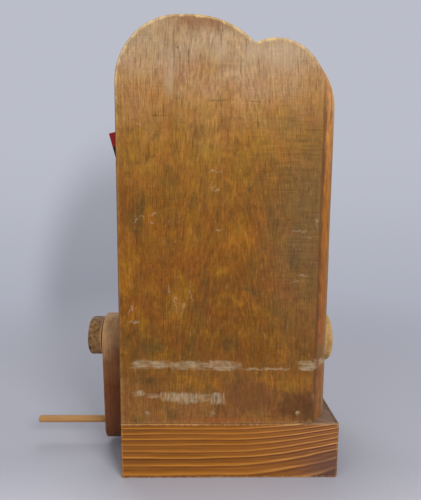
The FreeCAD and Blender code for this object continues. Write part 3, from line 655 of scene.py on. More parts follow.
def plywood_wheel(name, axis):
    """Birch ply wheel: pale long-grain and brown end-grain layers on the rim, and streaky
    bare faces."""
    material, tree, point = blank_surface(name)
    layer = 1.5
    streak = [26.0, 26.0, 26.0]
    streak[axis] = 3.0
    streak[(axis + 1) % 3] = 1.6
    through = add(tree, "SeparateXYZ", [point]).outputs[axis]
    wave = add(tree, "Math MULTIPLY", [through, math.pi / layer])
    wave = add(tree, "Math SINE", [wave])
    plies = add(tree, "MapRange", [wave, -0.3, 0.3])
    flat = add(tree, "Math ABSOLUTE", [normal_axes(tree)[axis]])
    streaks = grain(tree, point, streak, 1)
    patches = grain(tree, point, (9, 9, 9), 2)
    rim = laid(tree, "8D6236", ("B48E59", plies))
    face = laid(tree, "93693A", ("B18A56", streaks))
    shade = laid(tree, rim, (face, flat))
    shade = toned(tree, shade, (patches, 0.2), (streaks, 0.1))
    finish_surface(tree, shade, 0.5, streaks, 0.04)
    return material


# ---- paints and metal ----
def brushed_paint(name, code, wood, size, wear=0.6, rough=0.5):
    """Thin brushed paint on wood: long brush lines, small bald spots, bare rubbed edges."""
    material, tree, point = blank_surface(name)
    lines = grain(tree, point, size, 1)
    patches = grain(tree, point, (12, 12, 12), 2)
    specks = grain(tree, point, (1.6, 1.6, 1.6), 3)
    shade = toned(tree, code, (lines, 0.16), (patches, 0.16))
    bald = add(tree, "MapRange", [specks, 0.9, 0.97])
    worn = add(tree, "Math MAXIMUM", [rubbed(tree, point, 1.2, 4, 0.6), bald])
    shade = laid(tree, shade, (wood, worn, wear))
    finish_surface(tree, shade, rough, lines, 0.04)
    return material


def dabbed_grass_paint(colours):
    """Poster paint dabbed on with a stiff brush: short tufts of dark and yellow green over
    an even green, thin at the board's edges."""
    material, tree, point = blank_surface("dabbed_grass_paint")
    fields = grain(tree, point, (24, 24, 24), 1, 3.0)
    shade = laid(tree, colours.grass_green, ("7F9448", fields))
    for size, seed, code, least, most in (((1.6, 1.6, 3.2), 2, "4E6A34", 0.52, 0.6),
                                          ((1.3, 1.3, 2.6), 3, "A3AD5C", 0.62, 0.45),
                                          ((2.4, 2.4, 2.4), 4, "3C5830", 0.72, 0.45)):
        dab = add(tree, "MapRange", [grain(tree, point, size, seed, 2.0, 0.6), least, least + 0.25,
                                     0.0, most], **SMOOTH)
        shade = laid(tree, shade, (code, dab))
    shade = laid(tree, shade, ("9A7A4C", rubbed(tree, point, 1.4, 5, 0.6), 0.7))
    finish_surface(tree, shade, 0.6, grain(tree, point, (1.6, 1.6, 1.6), 6), 0.12)
    return material


def weathered_shingle_paint(colours):
    """Dull red paint on little shingles: each one faded its own way, painted shade in the laps,
    and bare wood at the rubbed corners."""
    material, tree, point = blank_surface("weathered_shingle_paint")
    each = add(tree, "NewGeometry").outputs["Random Per Island"]
    shade = laid(tree, colours.roof_red, ("9A5540", each))
    split = grain(tree, point, (9, 0.9, 9), 1, 3.0)
    patches = grain(tree, point, (6, 6, 6), 2, 3.0)
    shade = toned(tree, shade, (each, 0.3), (split, 0.24), (patches, 0.2))
    shade = laid(tree, shade, ("9A774C", rubbed(tree, point, 0.7, 4, 0.9), 0.6))
    # painted shade where the shingles lap and meet the roof board
    shade = gap_shaded(tree, shade, 2.0)
    finish_surface(tree, shade, 0.6, split, 0.06)
    return material


def banded_sail_paint(colours):
    """Sign-painter's enamel on thin board: black with a red band along the upper edge and
    thin cream bars on the front.  The pattern follows each board's own place."""
    material, tree, point = blank_surface("brushed_enamel_sail")
    place = add(tree, "Attribute", attribute_name="board_place").outputs["Vector"]
    along, through, down = add(tree, "SeparateXYZ", [place]).outputs
    wobble = grain(tree, point, (7, 7, 7), 1)
    edge = add(tree, "Math MULTIPLY_ADD", [wobble, 0.8, down])
    band = add(tree, "MapRange", [edge, 11.4, 11.0])
    lines = grain(tree, point, (9, 9, 9), 2)
    shade = laid(tree, colours.sail_black, (colours.sail_red, band))
    # cream bars, 9 mm apart, only on the front face and clear of the band
    beat = add(tree, "Math PINGPONG", [along, 9.0])
    bar = add(tree, "MapRange", [beat, 0.65, 0.45])
    front = add(tree, "MapRange", [through, -1.0, -1.4])
    clear = add(tree, "MapRange", [down, 12.8, 13.2])
    bar = add(tree, "Math MULTIPLY", [bar, front])
    bar = add(tree, "Math MULTIPLY", [bar, clear])
    bar = broken(tree, bar, lines, 0.3, 0.3)
    shade = laid(tree, shade, ("D8CCAE", bar))
    shade = toned(tree, shade, (lines, 0.25), (grain(tree, point, (1.5, 4, 20), 3), 0.2))
    shade = laid(tree, shade, ("9A774C", rubbed(tree, point, 1.0, 4, 0.6), 0.7))
    finish_surface(tree, shade, 0.38, lines, 0.03)
    return material


def old_steel(name, code, rough):
    """Steel fastener, drawn or plated: dulled by age, with small brown rust spots."""
    material, tree, point = blank_surface(name)
    rust = add(tree, "MapRange", [grain(tree, point, (1.4, 1.4, 1.4), 1), 0.55, 0.8])
    shade = laid(tree, code, ("6A4A33", rust))
    bare = add(tree, "Math SUBTRACT", [0.9, rust])
    finish_surface(tree, shade, rough, rust, 0.02, bare)
    return material


def stained_putty():
    """Putty wiped over set nails and stained with the board: dull tan, paler in patches."""
    material, tree, point = blank_surface("stained_putty_over_nail")
    patches = add(tree, "MapRange", [grain(tree, point, (4, 4, 4), 1), 0.1, 0.9])
    shade = laid(tree, "8C6C46", ("B0966E", patches))
    shade = toned(tree, shade, (grain(tree, point, (0.8, 0.8, 0.8), 2), 0.16))
    finish_surface(tree, shade, 0.7, patches, 0.1)
    return material


# ---- pieces ----
def put(name, mesh, body, slot, *nodes):
    """Link a finished mesh as a piece on a body, in the place of the named solids."""
    piece = bpy.data.objects.new(name, mesh)
    bpy.context.scene.collection.objects.link(piece)
    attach(piece, body)
    if nodes:
        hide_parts(*nodes)
    return piece


def settled(mesh, modifiers):
    """A mesh with modifiers applied; each is (kind, settings)."""
    carrier = bpy.data.objects.new("carrier", mesh)
    bpy.context.scene.collection.objects.link(carrier)
    for kind, settings in modifiers:
        modifier = carrier.modifiers.new(kind, kind)
        for name, value in settings.items():
            if name.startswith("Socket"):
                modifier[name] = value
            else:
                setattr(modifier, name, value)
    seen = carrier.evaluated_get(bpy.context.evaluated_depsgraph_get())
    result = bpy.data.meshes.new_from_object(seen)
    bpy.data.objects.remove(carrier)
    return result


def shaded(mesh, material):
    """One material, smooth shading up to a sharp edge, and flats kept flat."""
    mesh.materials.clear()
    mesh.materials.append(material)
    mesh.shade_smooth()
    mesh.set_sharp_from_angle(angle=SHARP)
    return settled(mesh, [("WEIGHTED_NORMAL", {"keep_sharp": True})])


def eased(mesh, width, shortest=1.2 * MM):
    """Round a merged mesh's long sharp outer edges; short ones belong to drilled holes."""
    work = bmesh.new()
    work.from_mesh(mesh)
    bmesh.ops.remove_doubles(work, verts=work.verts, dist=MERGED)
    flat = math.radians(0.5)
    bmesh.ops.dissolve_limit(work, angle_limit=flat, verts=work.verts, edges=work.edges)
    if width > 0:
        sharp = [edge for edge in work.edges
                 if edge.is_manifold and edge.calc_face_angle(0) > SHARP
                 and edge.is_convex and edge.calc_length() > shortest]
        bmesh.ops.bevel(work, geom=sharp, offset=width, offset_type="OFFSET", segments=3,
                        profile=0.5, affect="EDGES", clamp_overlap=False)
    return finished(work, "eased")


def dress(node, name, material, width=0.0):
    """A smooth, eased copy of a solid that stands for it on the same body."""
    mesh = shaded(eased(NODES[node].data, width), material)
    return put(name, mesh, BODY_OF[node], SLOT_OF[node], node)


def finished(work, name):
    """The mesh that was being built."""
    mesh = bpy.data.meshes.new(name)
    work.to_mesh(mesh)
    work.free()
    return mesh


def block(work, low, high):
    """A plain box in a mesh being built, from corner to corner."""
    made = bmesh.ops.create_cube(work, size=1.0)["verts"]
    centre = (Vector(low) + Vector(high)) / 2
    size = Vector(high) - Vector(low)
    bmesh.ops.scale(work, vec=size, verts=made)
    bmesh.ops.translate(work, vec=centre, verts=made)


def islands(node):
    """Boxes (low, high) of a node's separate shells, from left to right."""
    work = bmesh.new()
    work.from_mesh(NODES[node].data)
    bmesh.ops.remove_doubles(work, verts=work.verts, dist=MERGED)
    left = set(work.verts)
    boxes = []
    while left:
        to_visit = [left.pop()]
        shell = set(to_visit)
        while to_visit:
            vert = to_visit.pop()
            near = {edge.other_vert(vert) for edge in vert.link_edges} - shell
            shell |= near
            to_visit += near
        left -= shell
        boxes.append((Vector([min(v.co[i] for v in shell) for i in range(3)]),
                      Vector([max(v.co[i] for v in shell) for i in range(3)])))
    work.free()
    # a set gives its vertices in any order, so the boxes are put in one
    return sorted(boxes, key=lambda box: tuple(box[0]))


def new_rule(name, **sockets):
    """An empty geometry-node tree with named inputs, which are listed under their kinds;
    returns it, its inputs and their ids."""
    tree = bpy.data.node_groups.new(name, "GeometryNodeTree")
    tree.interface.new_socket("Geometry", in_out="OUTPUT", socket_type="NodeSocketGeometry")
    ids = {}
    for kind, labels in {"Geometry": ["Geometry"], **sockets}.items():
        for label in labels:
            socket = tree.interface.new_socket(label, in_out="INPUT",
                                               socket_type="NodeSocket" + kind)
            ids[label] = socket.identifier
    return tree, add(tree, "NodeGroupInput").outputs, ids


def close_rule(tree, instances, material):
    """End a geometry-node tree: realize the instances and set their material."""
    real = add(tree, "GeometryNodeRealizeInstances", [instances])
    real = add(tree, "GeometryNodeSetMaterial", {"Geometry": real, "Material": material})
    add(tree, "NodeGroupOutput", [real])


def follow_rule(mesh, tree, ids, values):
    """Run a geometry-node tree on a mesh and keep the plain result."""
    settings = {"node_group": tree}
    settings.update({ids[label]: value for label, value in values.items()})
    return settled(mesh, [("NODES", settings)])


def points_mesh(places):
    """A mesh of loose points."""
    mesh = bpy.data.meshes.new("points")
    mesh.from_pydata([tuple(p) for p in places], [], [])
    return mesh


def nail_rule(material):
    """Domed nails on points: head radius, crown, shank and the way the heads face."""
    tree, given, ids = new_rule("domed_nails", Float=["Head radius", "Crown", "Shank radius",
                                                      "Shank length"], Rotation=["Turn"])
    ball = add(tree, "GeometryNodeMeshUVSphere", {"Segments": 20, "Rings": 10, "Radius": 1.0})
    squash = add(tree, "CombineXYZ", [given["Head radius"], given["Head radius"],
                                      given["Crown"]])
    dome = add(tree, "GeometryNodeTransform", {"Geometry": ball, "Scale": squash})
    shank = add(tree, "GeometryNodeMeshCylinder",
                {"Vertices": 12, "Radius": given["Shank radius"],
                 "Depth": given["Shank length"]})
    sink = add(tree, "Math MULTIPLY", [given["Shank length"], -0.5])
    sink = add(tree, "CombineXYZ", {"Z": sink})
    shank = add(tree, "GeometryNodeTransform", {"Geometry": shank, "Translation": sink})
    nail = add(tree, "GeometryNodeJoinGeometry", [dome])
    tree.links.new(shank.outputs[0], nail.inputs[0])
    placed = add(tree, "GeometryNodeInstanceOnPoints",
                 {"Points": given["Geometry"], "Instance": nail, "Rotation": given["Turn"]})
    close_rule(tree, placed, material)
    return tree, ids


def screw_rule(material):
    """Countersunk cross-slot screw heads on points, facing down."""
    tree, given, ids = new_rule("cross_slot_screws", Float=["Head radius", "Head height",
                                                            "Shank radius", "Shank length",
                                                            "Slot"])
    slot_share, slot_rise = 1.2, -0.4  # of the head's radius and of its height
    cone = add(tree, "GeometryNodeMeshCone",
               {"Vertices": 24, "Radius Bottom": given["Head radius"],
                "Radius Top": given["Shank radius"], "Depth": given["Head height"]})
    slot_length = add(tree, "Math MULTIPLY", [given["Head radius"], slot_share])
    long_way = add(tree, "CombineXYZ", [slot_length, given["Slot"], given["Head height"]])
    wide_way = add(tree, "CombineXYZ", [given["Slot"], slot_length, given["Head height"]])
    cross = add(tree, "GeometryNodeMeshBoolean",
                {1: add(tree, "GeometryNodeMeshCube", {"Size": long_way})},
                operation="UNION", solver="EXACT")
    tree.links.new(add(tree, "GeometryNodeMeshCube", {"Size": wide_way}).outputs[0],
                   cross.inputs[1])
    low = add(tree, "Math MULTIPLY", [given["Head height"], slot_rise])
    low = add(tree, "CombineXYZ", {"Z": low})
    cross = add(tree, "GeometryNodeTransform", {"Geometry": cross, "Translation": low})
    head = add(tree, "GeometryNodeMeshBoolean", [cone, cross], operation="DIFFERENCE",
               solver="EXACT")
    shank = add(tree, "GeometryNodeMeshCylinder",
                {"Vertices": 16, "Radius": given["Shank radius"],
                 "Depth": given["Shank length"]})
    half = add(tree, "Math MULTIPLY_ADD", [given["Shank length"], 0.5, given["Head height"]])
    half = add(tree, "CombineXYZ", {"Z": half})
    shank = add(tree, "GeometryNodeTransform", {"Geometry": shank, "Translation": half})
    screw = add(tree, "GeometryNodeJoinGeometry", [head])
    tree.links.new(shank.outputs[0], screw.inputs[0])
    placed = add(tree, "GeometryNodeInstanceOnPoints",
                 {"Points": given["Geometry"], "Instance": screw})
    close_rule(tree, placed, material)
    return tree, ids


def sail_rule(material):
    """Four copies of one board about the windshaft, a quarter turn apart."""
    tree, given, ids = new_rule("four_sails", Float=["Tilt"], Vector=["Hub"])
    four = add(tree, "GeometryNodePoints", {"Count": 4})
    index = add(tree, "GeometryNodeInputIndex")
    turn = add(tree, "Math MULTIPLY_ADD", [index, -math.pi / 2, given["Tilt"]])
    turn = add(tree, "CombineXYZ", {"Y": turn})
    placed = add(tree, "GeometryNodeInstanceOnPoints",
                 {"Points": four, "Instance": given["Geometry"], "Rotation": turn})
    placed = add(tree, "GeometryNodeTransform", {"Geometry": placed,
                                                 "Translation": given["Hub"]})
    close_rule(tree, placed, material)
    return tree, ids


def shingle_rule(material):
    """Courses of shingles on a slope: X along the ridge, Y up the slope, Z off the roof.
    Every second course starts with a half shingle."""
    tree, given, ids = new_rule("lapped_shingles", Float=["Length", "Height", "Thickness"],
                                Int=["Rows", "Columns", "Seed"])
    filled, lapped = 0.95, 1.18  # of the room across, and of a course's height
    least_turn, most_turn = (0.045, -0.012, -0.02), (0.075, 0.012, 0.02)
    row_room = add(tree, "Math ADD", [given["Columns"], 1.0])
    count = add(tree, "Math MULTIPLY", [row_room, given["Rows"]])
    wide = add(tree, "Math DIVIDE", [given["Length"], given["Columns"]])
    tall = add(tree, "Math DIVIDE", [given["Height"], given["Rows"]])
    index = add(tree, "GeometryNodeInputIndex")
    row = add(tree, "Math DIVIDE", [index, row_room])
    row = add(tree, "Math FLOOR", [row])
    column = add(tree, "Math MODULO", [index, row_room])
    odd = add(tree, "Math MODULO", [row, 2.0])
    even = add(tree, "Math SUBTRACT", [1.0, odd])
    step = add(tree, "Math MULTIPLY_ADD", [even, 0.5, column])
    last = add(tree, "Math SUBTRACT", [given["Columns"], 0.25])
    held = add(tree, "Clamp", {"Value": step, "Min": 0.25, "Max": last})
    along = add(tree, "Math MULTIPLY", [held, wide])
    up = add(tree, "Math ADD", [row, 0.5])
    up = add(tree, "Math MULTIPLY", [up, tall])
    place = add(tree, "CombineXYZ", [along, up, given["Thickness"]])
    beyond = add(tree, "Math GREATER_THAN", [step, given["Columns"]])
    at_end = add(tree, "Math COMPARE", [held, step, 0.01])
    narrow = add(tree, "Math MULTIPLY_ADD", [at_end, 0.5, 0.5])
    grid = add(tree, "GeometryNodePoints", {"Count": count, "Position": place})
    shake = add(tree, "FunctionNodeRandomValue",
                {0: least_turn, 1: most_turn, "ID": index, "Seed": given["Seed"]},
                data_type="FLOAT_VECTOR")
    size = add(tree, "Math MULTIPLY", [wide, filled])
    reach = add(tree, "Math MULTIPLY", [tall, lapped])
    size = add(tree, "CombineXYZ", [size, reach, given["Thickness"]])
    shingle = add(tree, "GeometryNodeMeshCube", {"Size": size})
    placed = add(tree, "GeometryNodeInstanceOnPoints",
                 {"Points": grid, "Instance": shingle, "Rotation": shake,
                  "Scale": add(tree, "CombineXYZ", [narrow, 1.0, 1.0])})
    kept = add(tree, "GeometryNodeDeleteGeometry", {"Geometry": placed, "Selection": beyond},
               domain="INSTANCE")
    close_rule(tree, kept, material)
    return tree, ids


def settings_of(context):
    """The size and colour settings."""
    return context.scene.automaton_sizes, context.scene.automaton_colours


class MakeBase(bpy.types.Operator):
    """Make the base block: banded stained softwood with eased edges"""
    bl_idname = "automaton.base"
    bl_label = "Base"

    def execute(self, context):
        sizes, colours = settings_of(context)
        dress("base_block", "base", stained_fir_block(colours), sizes.base_ease)
        return {"FINISHED"}


class MakePanel(bpy.types.Operator):
    """Make the back panel: stained behind, sky paint in front, rubbed edges"""
    bl_idname = "automaton.panel"
    bl_label = "Back panel"

    def execute(self, context):
        sizes, colours = settings_of(context)
        dress("back_panel", "panel", stained_birch_board(colours), sizes.panel_ease)
        return {"FINISHED"}


class MakeBox(bpy.types.Operator):
    """Make the mechanism box: two bearing walls, the rear cleat and the green stage"""
    bl_idname = "automaton.box"
    bl_label = "Mechanism box"

    def execute(self, context):
        sizes, colours = settings_of(context)
        wood = stained_box_board(colours)
        for node, name in (("side_wall_crank", "crank_wall"), ("side_wall_far", "far_wall"),
                           ("rear_cleat", "cleat")):
            dress(node, name, wood, sizes.board_ease)
        dress("stage_board", "stage_top", dabbed_grass_paint(colours), sizes.board_ease)
        return {"FINISHED"}


class MakeCrank(bpy.types.Operator):
    """Make the crank: shaft, arm, handle, washers and both end caps"""
    bl_idname = "automaton.crank"
    bl_label = "Crank"

    def execute(self, context):
        colours = context.scene.automaton_colours
        dowel = bare_dowel_wood(colours, "bare_ramin_dowel_crank", (30, 0.8, 0.8))
        dress("crankshaft", "crank_shaft", dowel)
        dress("handle_dowel", "handle", dowel)
        dress("crank_arm", "arm", stained_crank_arm(colours))
        handled = turned_cap_wood("turned_oiled_beech_handled", "4A2A18", "A07A4E")
        # the washer between cap and arm is painted near black: painted shade of the narrow gap
        # there
        gap_shadow_dark = turned_cap_wood("turned_beech_washer_gap_shade", "26150D", "44291A")
        fresh = turned_cap_wood("turned_oiled_beech_fresh", "A0783F", "CFA76B")
        for node, name, cap in (("crank_disc", "crank_cap", handled),
                                ("crank_washer", "crank_spacer", gap_shadow_dark),
                                ("far_disc", "far_cap", fresh),
                                ("far_washer", "far_spacer", fresh)):
            dress(node, name, cap)
        return {"FINISHED"}


class MakeDrive(bpy.types.Operator):
    """Make the friction drive: wheels, discs, spindle and windshaft"""
    bl_idname = "automaton.drive"
    bl_label = "Friction drive"

    def execute(self, context):
        colours = context.scene.automaton_colours
        dress("drive_wheel", "driver", plywood_wheel("birch_ply_wheel_crank", X))
        flat_ply = plywood_wheel("birch_ply_wheel_spindle", Z)
        upright_ply = plywood_wheel("birch_ply_wheel_windshaft", Y)
        upright = bare_dowel_wood(colours, "bare_ramin_dowel_spindle", (0.8, 0.8, 30))
        level = bare_dowel_wood(colours, "bare_ramin_dowel_windshaft", (0.8, 30, 0.8))
        dress("spindle", "spindle_dowel", upright)
        dress("windshaft", "windshaft_dowel", level)
        for node, name in (("spindle_disc", "lower_plate"), ("spindle_collar", "stop_collar"),
                           ("upper_disc", "upper_plate")):
            dress(node, name, flat_ply)
        for node, name in (("windshaft_wheel", "driven_wheel"),
                           ("windshaft_collar", "front_collar"),
                           ("windshaft_washer", "sail_spacer")):
            dress(node, name, upright_ply)
        return {"FINISHED"}


class MakeSails(bpy.types.Operator):
    """Make the four painted sails, their crossed stocks and the hub cap"""
    bl_idname = "automaton.sails"
    bl_label = "Sails"

    def execute(self, context):
        sizes, colours = settings_of(context)
        low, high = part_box("hub_cap")
        hub = Vector(((low.x + high.x) / 2, 0.0, (low.z + high.z) / 2))
        paint = banded_sail_paint(colours)
        front, back = (box_end.y for box_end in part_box("sail_upper"))
        root, reach, tilt = 17 * MM, 68 * MM, math.radians(15)
        half_root, half_tip, rounding = 10 * MM, 16 * MM, 0.4 * MM
        work = bmesh.new()
        block(work, (root, front, -half_root), (reach, back, half_root))
        for vert in work.verts:
            if vert.co.x > root:
                vert.co.z *= half_tip / half_root
        board = eased(finished(work, "sail_board"), rounding)
        place = board.attributes.new("board_place", "FLOAT_VECTOR", "POINT")
        middle = (front + back) / 2
        for vert, stored in zip(board.vertices, place.data):
            along = (vert.co.x - root) / (reach - root)
            below_edge = half_root + along * (half_tip - half_root) - vert.co.z
            stored.vector = Vector((vert.co.x - root, vert.co.y - middle, below_edge)) / MM
        tree, ids = sail_rule(paint)
        mesh = follow_rule(board, tree, ids, {"Tilt": tilt, "Hub": hub})
        put("sails", shaded(mesh, paint), "windshaft", "sail_paint", "sail_crank_side",
            "sail_upper", "sail_far_side", "sail_lower")
        stock = brushed_paint("brushed_stock_paint", "5A3A26", "A08052", (20, 2, 20))
        dress("stock_a", "crossbar_a", stock, sizes.trim_ease)
        dress("stock_b", "crossbar_b", stock, sizes.trim_ease)
        dress("hub_cap", "hub", brushed_paint("brushed_hub_paint", colours.sail_red,
                                               "A08052", (9, 9, 2)))
        return {"FINISHED"}


class MakeTower(bpy.types.Operator):
    """Make the mill tower: boards, roof with shingles, door, step and windows"""
    bl_idname = "automaton.tower"
    bl_label = "Mill tower"

    def execute(self, context):
        sizes, colours = settings_of(context)
        white = brushed_paint("brushed_mill_paint", colours.mill_white, "A98C62",
                              (1.6, 1.6, 30), 0.7)
        for node, name in (("tower_front", "mill_front"),
                           ("tower_side_crank", "mill_side_crank"),
                           ("tower_side_far", "mill_side_far"),
                           ("tower_shelf", "mill_shelf")):
            dress(node, name, white, sizes.trim_ease)
        self.roof(sizes, weathered_shingle_paint(colours))
        self.door(sizes)
        self.windows(sizes.glazing_bar, white)
        return {"FINISHED"}

    def roof(self, sizes, paint):
        """Roof boards under lapped shingles."""
        tree, ids = shingle_rule(paint)
        for node, name in (("roof_board_crank", "roof_crank"), ("roof_board_far", "roof_far")):
            dress(node, name, paint, sizes.trim_ease)
            corners = self.slope(node)
            ridge = corners[1] - corners[0]
            rise = corners[2] - corners[0]
            flat = follow_rule(points_mesh([]), tree, ids,
                               {"Length": ridge.length, "Height": rise.length,
                                "Thickness": sizes.shingle_thickness,
                                "Rows": sizes.shingle_rows, "Columns": sizes.shingle_columns,
                                "Seed": 3})
            out = ridge.normalized().cross(rise.normalized())
            turn = Matrix((ridge.normalized(), rise.normalized(), out)).transposed().to_4x4()
            flat.transform(Matrix.Translation(corners[0]) @ turn)
            put(name + "_shingles", shaded(flat, paint), "frame", "roof_paint")

    def slope(self, node):
        """Eave start, eave end and ridge start of a roof board's top, ridge to its left."""
        mesh = eased(NODES[node].data, 0.0)
        top = max(mesh.polygons, key=lambda face: face.area * (face.normal.z > 0.2))
        points = [mesh.vertices[i].co.copy() for i in top.vertices]
        normal = top.normal.copy()
        low = sorted(points, key=lambda p: p.z)[:2]
        high = sorted(points, key=lambda p: p.z)[2:]
        low.sort(key=lambda p: p.y, reverse=normal.x < 0)
        high.sort(key=lambda p: p.y, reverse=normal.x < 0)
        return low[0], low[1], high[0]

    def door(self, sizes):
        """A planked door with two ledges, a pin for a knob and a step."""
        low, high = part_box("tower_door")
        planks, gap = 4, sizes.plank_gap
        plank_inset, ledge_inset, half_ledge = 0.5 * MM, 0.8 * MM, 1.2 * MM
        width = (high.x - low.x - gap * (planks - 1)) / planks
        work = bmesh.new()
        for index in range(planks):
            left = low.x + index * (width + gap)
            block(work, (left, low.y + plank_inset, low.z), (left + width, high.y, high.z))
        for share in (0.22, 0.78):
            middle = low.z + share * (high.z - low.z)
            block(work, (low.x + ledge_inset, low.y, middle - half_ledge),
                  (high.x - ledge_inset, high.y - BACK_ROOM, middle + half_ledge))
        paint = brushed_paint("brushed_door_paint", "3E5A48", "8A6A42", (1.5, 3, 20))
        planked = eased(finished(work, "door"), 0.15 * MM)
        put("door", shaded(planked, paint), "frame", "door_paint", "tower_door")
        step = brushed_paint("brushed_step_paint", "8C8678", "8A6A42", (9, 9, 2))
        dress("door_step", "step", step, sizes.trim_ease)
        dress("door_knob", "knob", old_steel("brass_plated_pin", "A8874A", 0.35))

    def windows(self, bar, white):
        """Panes behind crossed bars, `bar` wide."""
        pane_inset, crossing = 0.5 * MM, 0.03 * MM
        glass = brushed_paint("brushed_window_paint", "34495A", "8A6A42", (6, 6, 2))
        panes = bmesh.new()
        bars = bmesh.new()
        for low, high in islands("tower_windows"):
            block(panes, (low.x, low.y + pane_inset, low.z), high)
            middle = (low + high) / 2
            for x in (low.x, middle.x - bar / 2, high.x - bar):
                block(bars, (x, low.y, low.z), (x + bar, high.y - BACK_ROOM, high.z))
            for z in (low.z, middle.z - bar / 2, high.z - bar):
                block(bars, (low.x, low.y + crossing, z), (high.x, high.y - BACK_ROOM, z + bar))
        for work, name, paint in ((panes, "window_panes", glass), (bars, "window_bars", white)):
            piece = put(name, shaded(finished(work, name), paint), "frame", "window_paint")
            if name == "window_panes":
                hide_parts("tower_windows")


class MakeFasteners(bpy.types.Operator):
    """Make the nails and the base's screws"""
    bl_idname = "automaton.fasteners"
    bl_label = "Nails and screws"

    def execute(self, context):
        sizes = context.scene.automaton_sizes
        steel = old_steel("aged_steel_nail", "8B8A86", 0.42)
        putty = stained_putty()
        tree, ids = nail_rule(steel)
        up, back, front = (0.0, 0.0, 0.0), (-math.pi / 2, 0.0, 0.0), (math.pi / 2, 0.0, 0.0)
        filled = sizes.nail_set + sizes.nail_crown
        shank_share, tip_room = 0.55, 0.5 * MM
        for node, name, axis, at_low, turn, sunk, finish in (
                ("stage_nails", "stage_nail_heads", Z, False, up, 0.0, steel),
                ("panel_nails", "panel_nail_heads", Y, False, back, filled, putty),
                ("sail_nails", "sail_nail_heads", Y, True, front, 0.0, steel)):
            boxes = islands(node)
            heads = []
            for low, high in boxes:
                head = (low + high) / 2
                head[axis] = low[axis] + sunk if at_low else high[axis] - sunk
                heads.append(head)
            low, high = boxes[0]
            radius = (high.x - low.x) / 2
            mesh = follow_rule(points_mesh(heads), tree, ids,
                               {"Head radius": radius, "Crown": sizes.nail_crown,
                                "Shank radius": radius * shank_share,
                                "Shank length": high[axis] - low[axis] - sunk - tip_room,
                                "Turn": turn})
            put(name, shaded(mesh, finish), BODY_OF[node], SLOT_OF[node], node)
        self.screws(sizes.screw_slot, 3 * MM)
        return {"FINISHED"}

    def screws(self, slot, head_height):
        """Zinc-plated screws up into the walls, heads down."""
        zinc = old_steel("zinc_plated_screw", "9C9A92", 0.38)
        tree, ids = screw_rule(zinc)
        boxes = islands("base_screws")
        heads = [Vector(((low.x + high.x) / 2, (low.y + high.y) / 2, low.z))
                 for low, high in boxes]
        low, high = boxes[0]
        radius = (high.x - low.x) / 2
        mesh = follow_rule(points_mesh(heads), tree, ids,
                           {"Head radius": radius, "Head height": head_height,
                            "Shank radius": radius / 2,
                            "Shank length": high.z - low.z - head_height, "Slot": slot})
        put("screw_heads", shaded(mesh, zinc), "frame", "nail_steel", "base_screws")


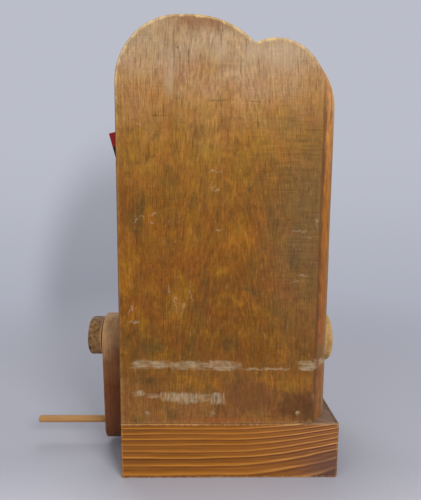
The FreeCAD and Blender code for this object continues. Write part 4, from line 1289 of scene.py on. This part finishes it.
class MakeStage(bpy.types.Operator):
    """Make the floor, the backdrop, the lamps and the camera"""
    bl_idname = "automaton.stage"
    bl_label = "Stage"

    def execute(self, context):
        given = context.scene.automaton_stage
        self.floor(given)
        self.backdrop(given)
        self.lamp("key_lamp", (-0.50, 0.90, 0.70), 0.45, given.key_power)
        self.lamp("side_lamp", (0.70, 0.75, 0.50), 0.6, given.side_power)
        self.lamp("front_lamp", (0.30, -0.72, 1.05), 0.8, given.front_power)
        self.camera(given)
        return {"FINISHED"}

    def floor(self, given):
        """Round cloth floor that fades out far from the part, painted paler behind the part as
        painted light.
        """
        work = bmesh.new()
        bmesh.ops.create_circle(work, cap_ends=True, segments=96, radius=given.floor_edge)
        mesh = finished(work, "floor")
        material, tree, point = blank_surface("plain_cloth_floor")
        weave = grain(tree, point, (3, 3, 3), 1)
        forward = add(tree, "SeparateXYZ", [point]).outputs["Y"]
        # painted light: the cloth is painted paler towards the part's back
        near = add(tree, "MapRange", [forward, 20.0, 110.0], **SMOOTH)
        shade = laid(tree, given.floor_colour, (given.floor_near, near))
        shade = toned(tree, shade, (weave, 0.02))
        cloth = add(tree, "BsdfDiffuse", {"Color": shade})
        gone = add(tree, "BsdfTransparent")
        away = add(tree, "VectorMath LENGTH", [point])
        fade = add(tree, "MapRange", [away, given.floor_solid / MM, given.floor_edge / MM],
                   **SMOOTH)
        seen = add(tree, "MixShader", [fade, cloth, gone])
        add(tree, "OutputMaterial", {"Surface": seen})
        mesh.materials.append(material)
        floor = bpy.data.objects.new("floor", mesh)
        bpy.context.scene.collection.objects.link(floor)

    def backdrop(self, given):
        """A plain world: even light, and a soft grey-blue where it is seen or mirrored, with
        a painted soft shadow of the part low behind the crank's side."""
        world = bpy.data.worlds.new("studio")
        world.use_nodes = True
        bpy.context.scene.world = world
        tree = world.node_tree
        tree.nodes.clear()
        way = add(tree, "TexCoord").outputs["Generated"]
        up = add(tree, "SeparateXYZ", [way]).outputs["Z"]
        high = add(tree, "MapRange", [up, -0.35, 0.15], **SMOOTH)
        plain = laid(tree, given.backdrop_low, (given.backdrop_high, high))
        # painted shadow: a soft darker patch on the backdrop where the part's shadow would fall
        soft_shadow = marks(tree, way, [((0.20, -0.95, -0.22), (0.21, 0.6, 0.42), 0)], 0.45)
        shade = add(tree, "MapRange", [soft_shadow, 0.0, 1.0, 1.0, 0.69])
        plain = add(tree, "HueSaturation", {"Color": plain, "Value": shade})
        seen = add(tree, "Background", {"Color": plain, "Strength": 1.0})
        light = add(tree, "Background", {"Color": "FBFBFF", "Strength": given.sky_strength})
        path = add(tree, "LightPath")
        direct = add(tree, "Math MAXIMUM", [path.outputs["Is Camera Ray"],
                                            path.outputs["Is Glossy Ray"]])
        direct = add(tree, "Math MAXIMUM", [direct, path.outputs["Is Transmission Ray"]])
        both = add(tree, "MixShader", [direct, light, seen])
        add(tree, "OutputWorld", {"Surface": both})

    def lamp(self, name, place, size, power):
        """A square soft lamp aimed at the part's middle."""
        light = bpy.data.lights.new(name, "AREA")
        light.energy = power
        light.size = size
        holder = bpy.data.objects.new(name, light)
        aim = (CAD_BOX[0] + CAD_BOX[1]) / 2 - Vector(place)
        holder.matrix_world = (Matrix.Translation(place)
                               @ aim.to_track_quat("-Z", "Y").to_matrix().to_4x4())
        bpy.context.scene.collection.objects.link(holder)

    def camera(self, given):
        """The main camera, behind the part and a little above its middle."""
        yaw, pitch, roll = given.camera_yaw, given.camera_pitch, given.camera_roll
        ahead = Vector((math.sin(yaw) * math.cos(pitch), -math.cos(yaw) * math.cos(pitch),
                        -math.sin(pitch)))
        level = ahead.cross(Vector((0, 0, 1))).normalized()
        upright = level.cross(ahead)
        side = level * math.cos(roll) + upright * math.sin(roll)
        up = upright * math.cos(roll) - level * math.sin(roll)
        pose = Matrix((side, up, -ahead)).transposed().to_4x4()
        pose.translation = given.camera_place
        data = bpy.data.cameras.new("main_camera")
        data.sensor_fit = "HORIZONTAL"
        data.sensor_width = 36.0
        data.lens = given.camera_lens
        camera = bpy.data.objects.new("main_camera", data)
        camera.matrix_world = pose
        bpy.context.scene.collection.objects.link(camera)
        bpy.context.scene.camera = camera


OPERATORS = (MakeStage, MakeBase, MakePanel, MakeBox, MakeCrank, MakeDrive, MakeSails,
             MakeTower, MakeFasteners)


class AutomatonPanel(bpy.types.Panel):
    """Sizes, colours and the pieces, in the order that they are made"""
    bl_idname = "VIEW3D_PT_automaton"
    bl_label = "Crank automaton"
    bl_space_type = "VIEW_3D"
    bl_region_type = "UI"
    bl_category = "Automaton"

    def draw(self, context):
        for group in (context.scene.automaton_sizes, context.scene.automaton_colours,
                      context.scene.automaton_stage):
            box = self.layout.box()
            for name in group.__annotations__:
                box.prop(group, name)
        for operator in OPERATORS:
            self.layout.operator(operator.bl_idname)


CLASSES = (AutomatonSizes, AutomatonColours, AutomatonStage, *OPERATORS, AutomatonPanel)


def register():
    """Register the classes and hang the settings on the scene."""
    for cls in CLASSES:
        bpy.utils.register_class(cls)
    bpy.types.Scene.automaton_sizes = PointerProperty(type=AutomatonSizes)
    bpy.types.Scene.automaton_colours = PointerProperty(type=AutomatonColours)
    bpy.types.Scene.automaton_stage = PointerProperty(type=AutomatonStage)


def unregister():
    """Take the settings and classes away."""
    del bpy.types.Scene.automaton_stage
    del bpy.types.Scene.automaton_colours
    del bpy.types.Scene.automaton_sizes
    for cls in reversed(CLASSES):
        bpy.utils.unregister_class(cls)


def main():
    """Make every piece."""
    register()
    bpy.context.scene.view_settings.view_transform = "Standard"
    for operator in OPERATORS:
        group, name = operator.bl_idname.split(".")
        getattr(getattr(bpy.ops, group), name)()


if __name__ == "__main__":
    main()
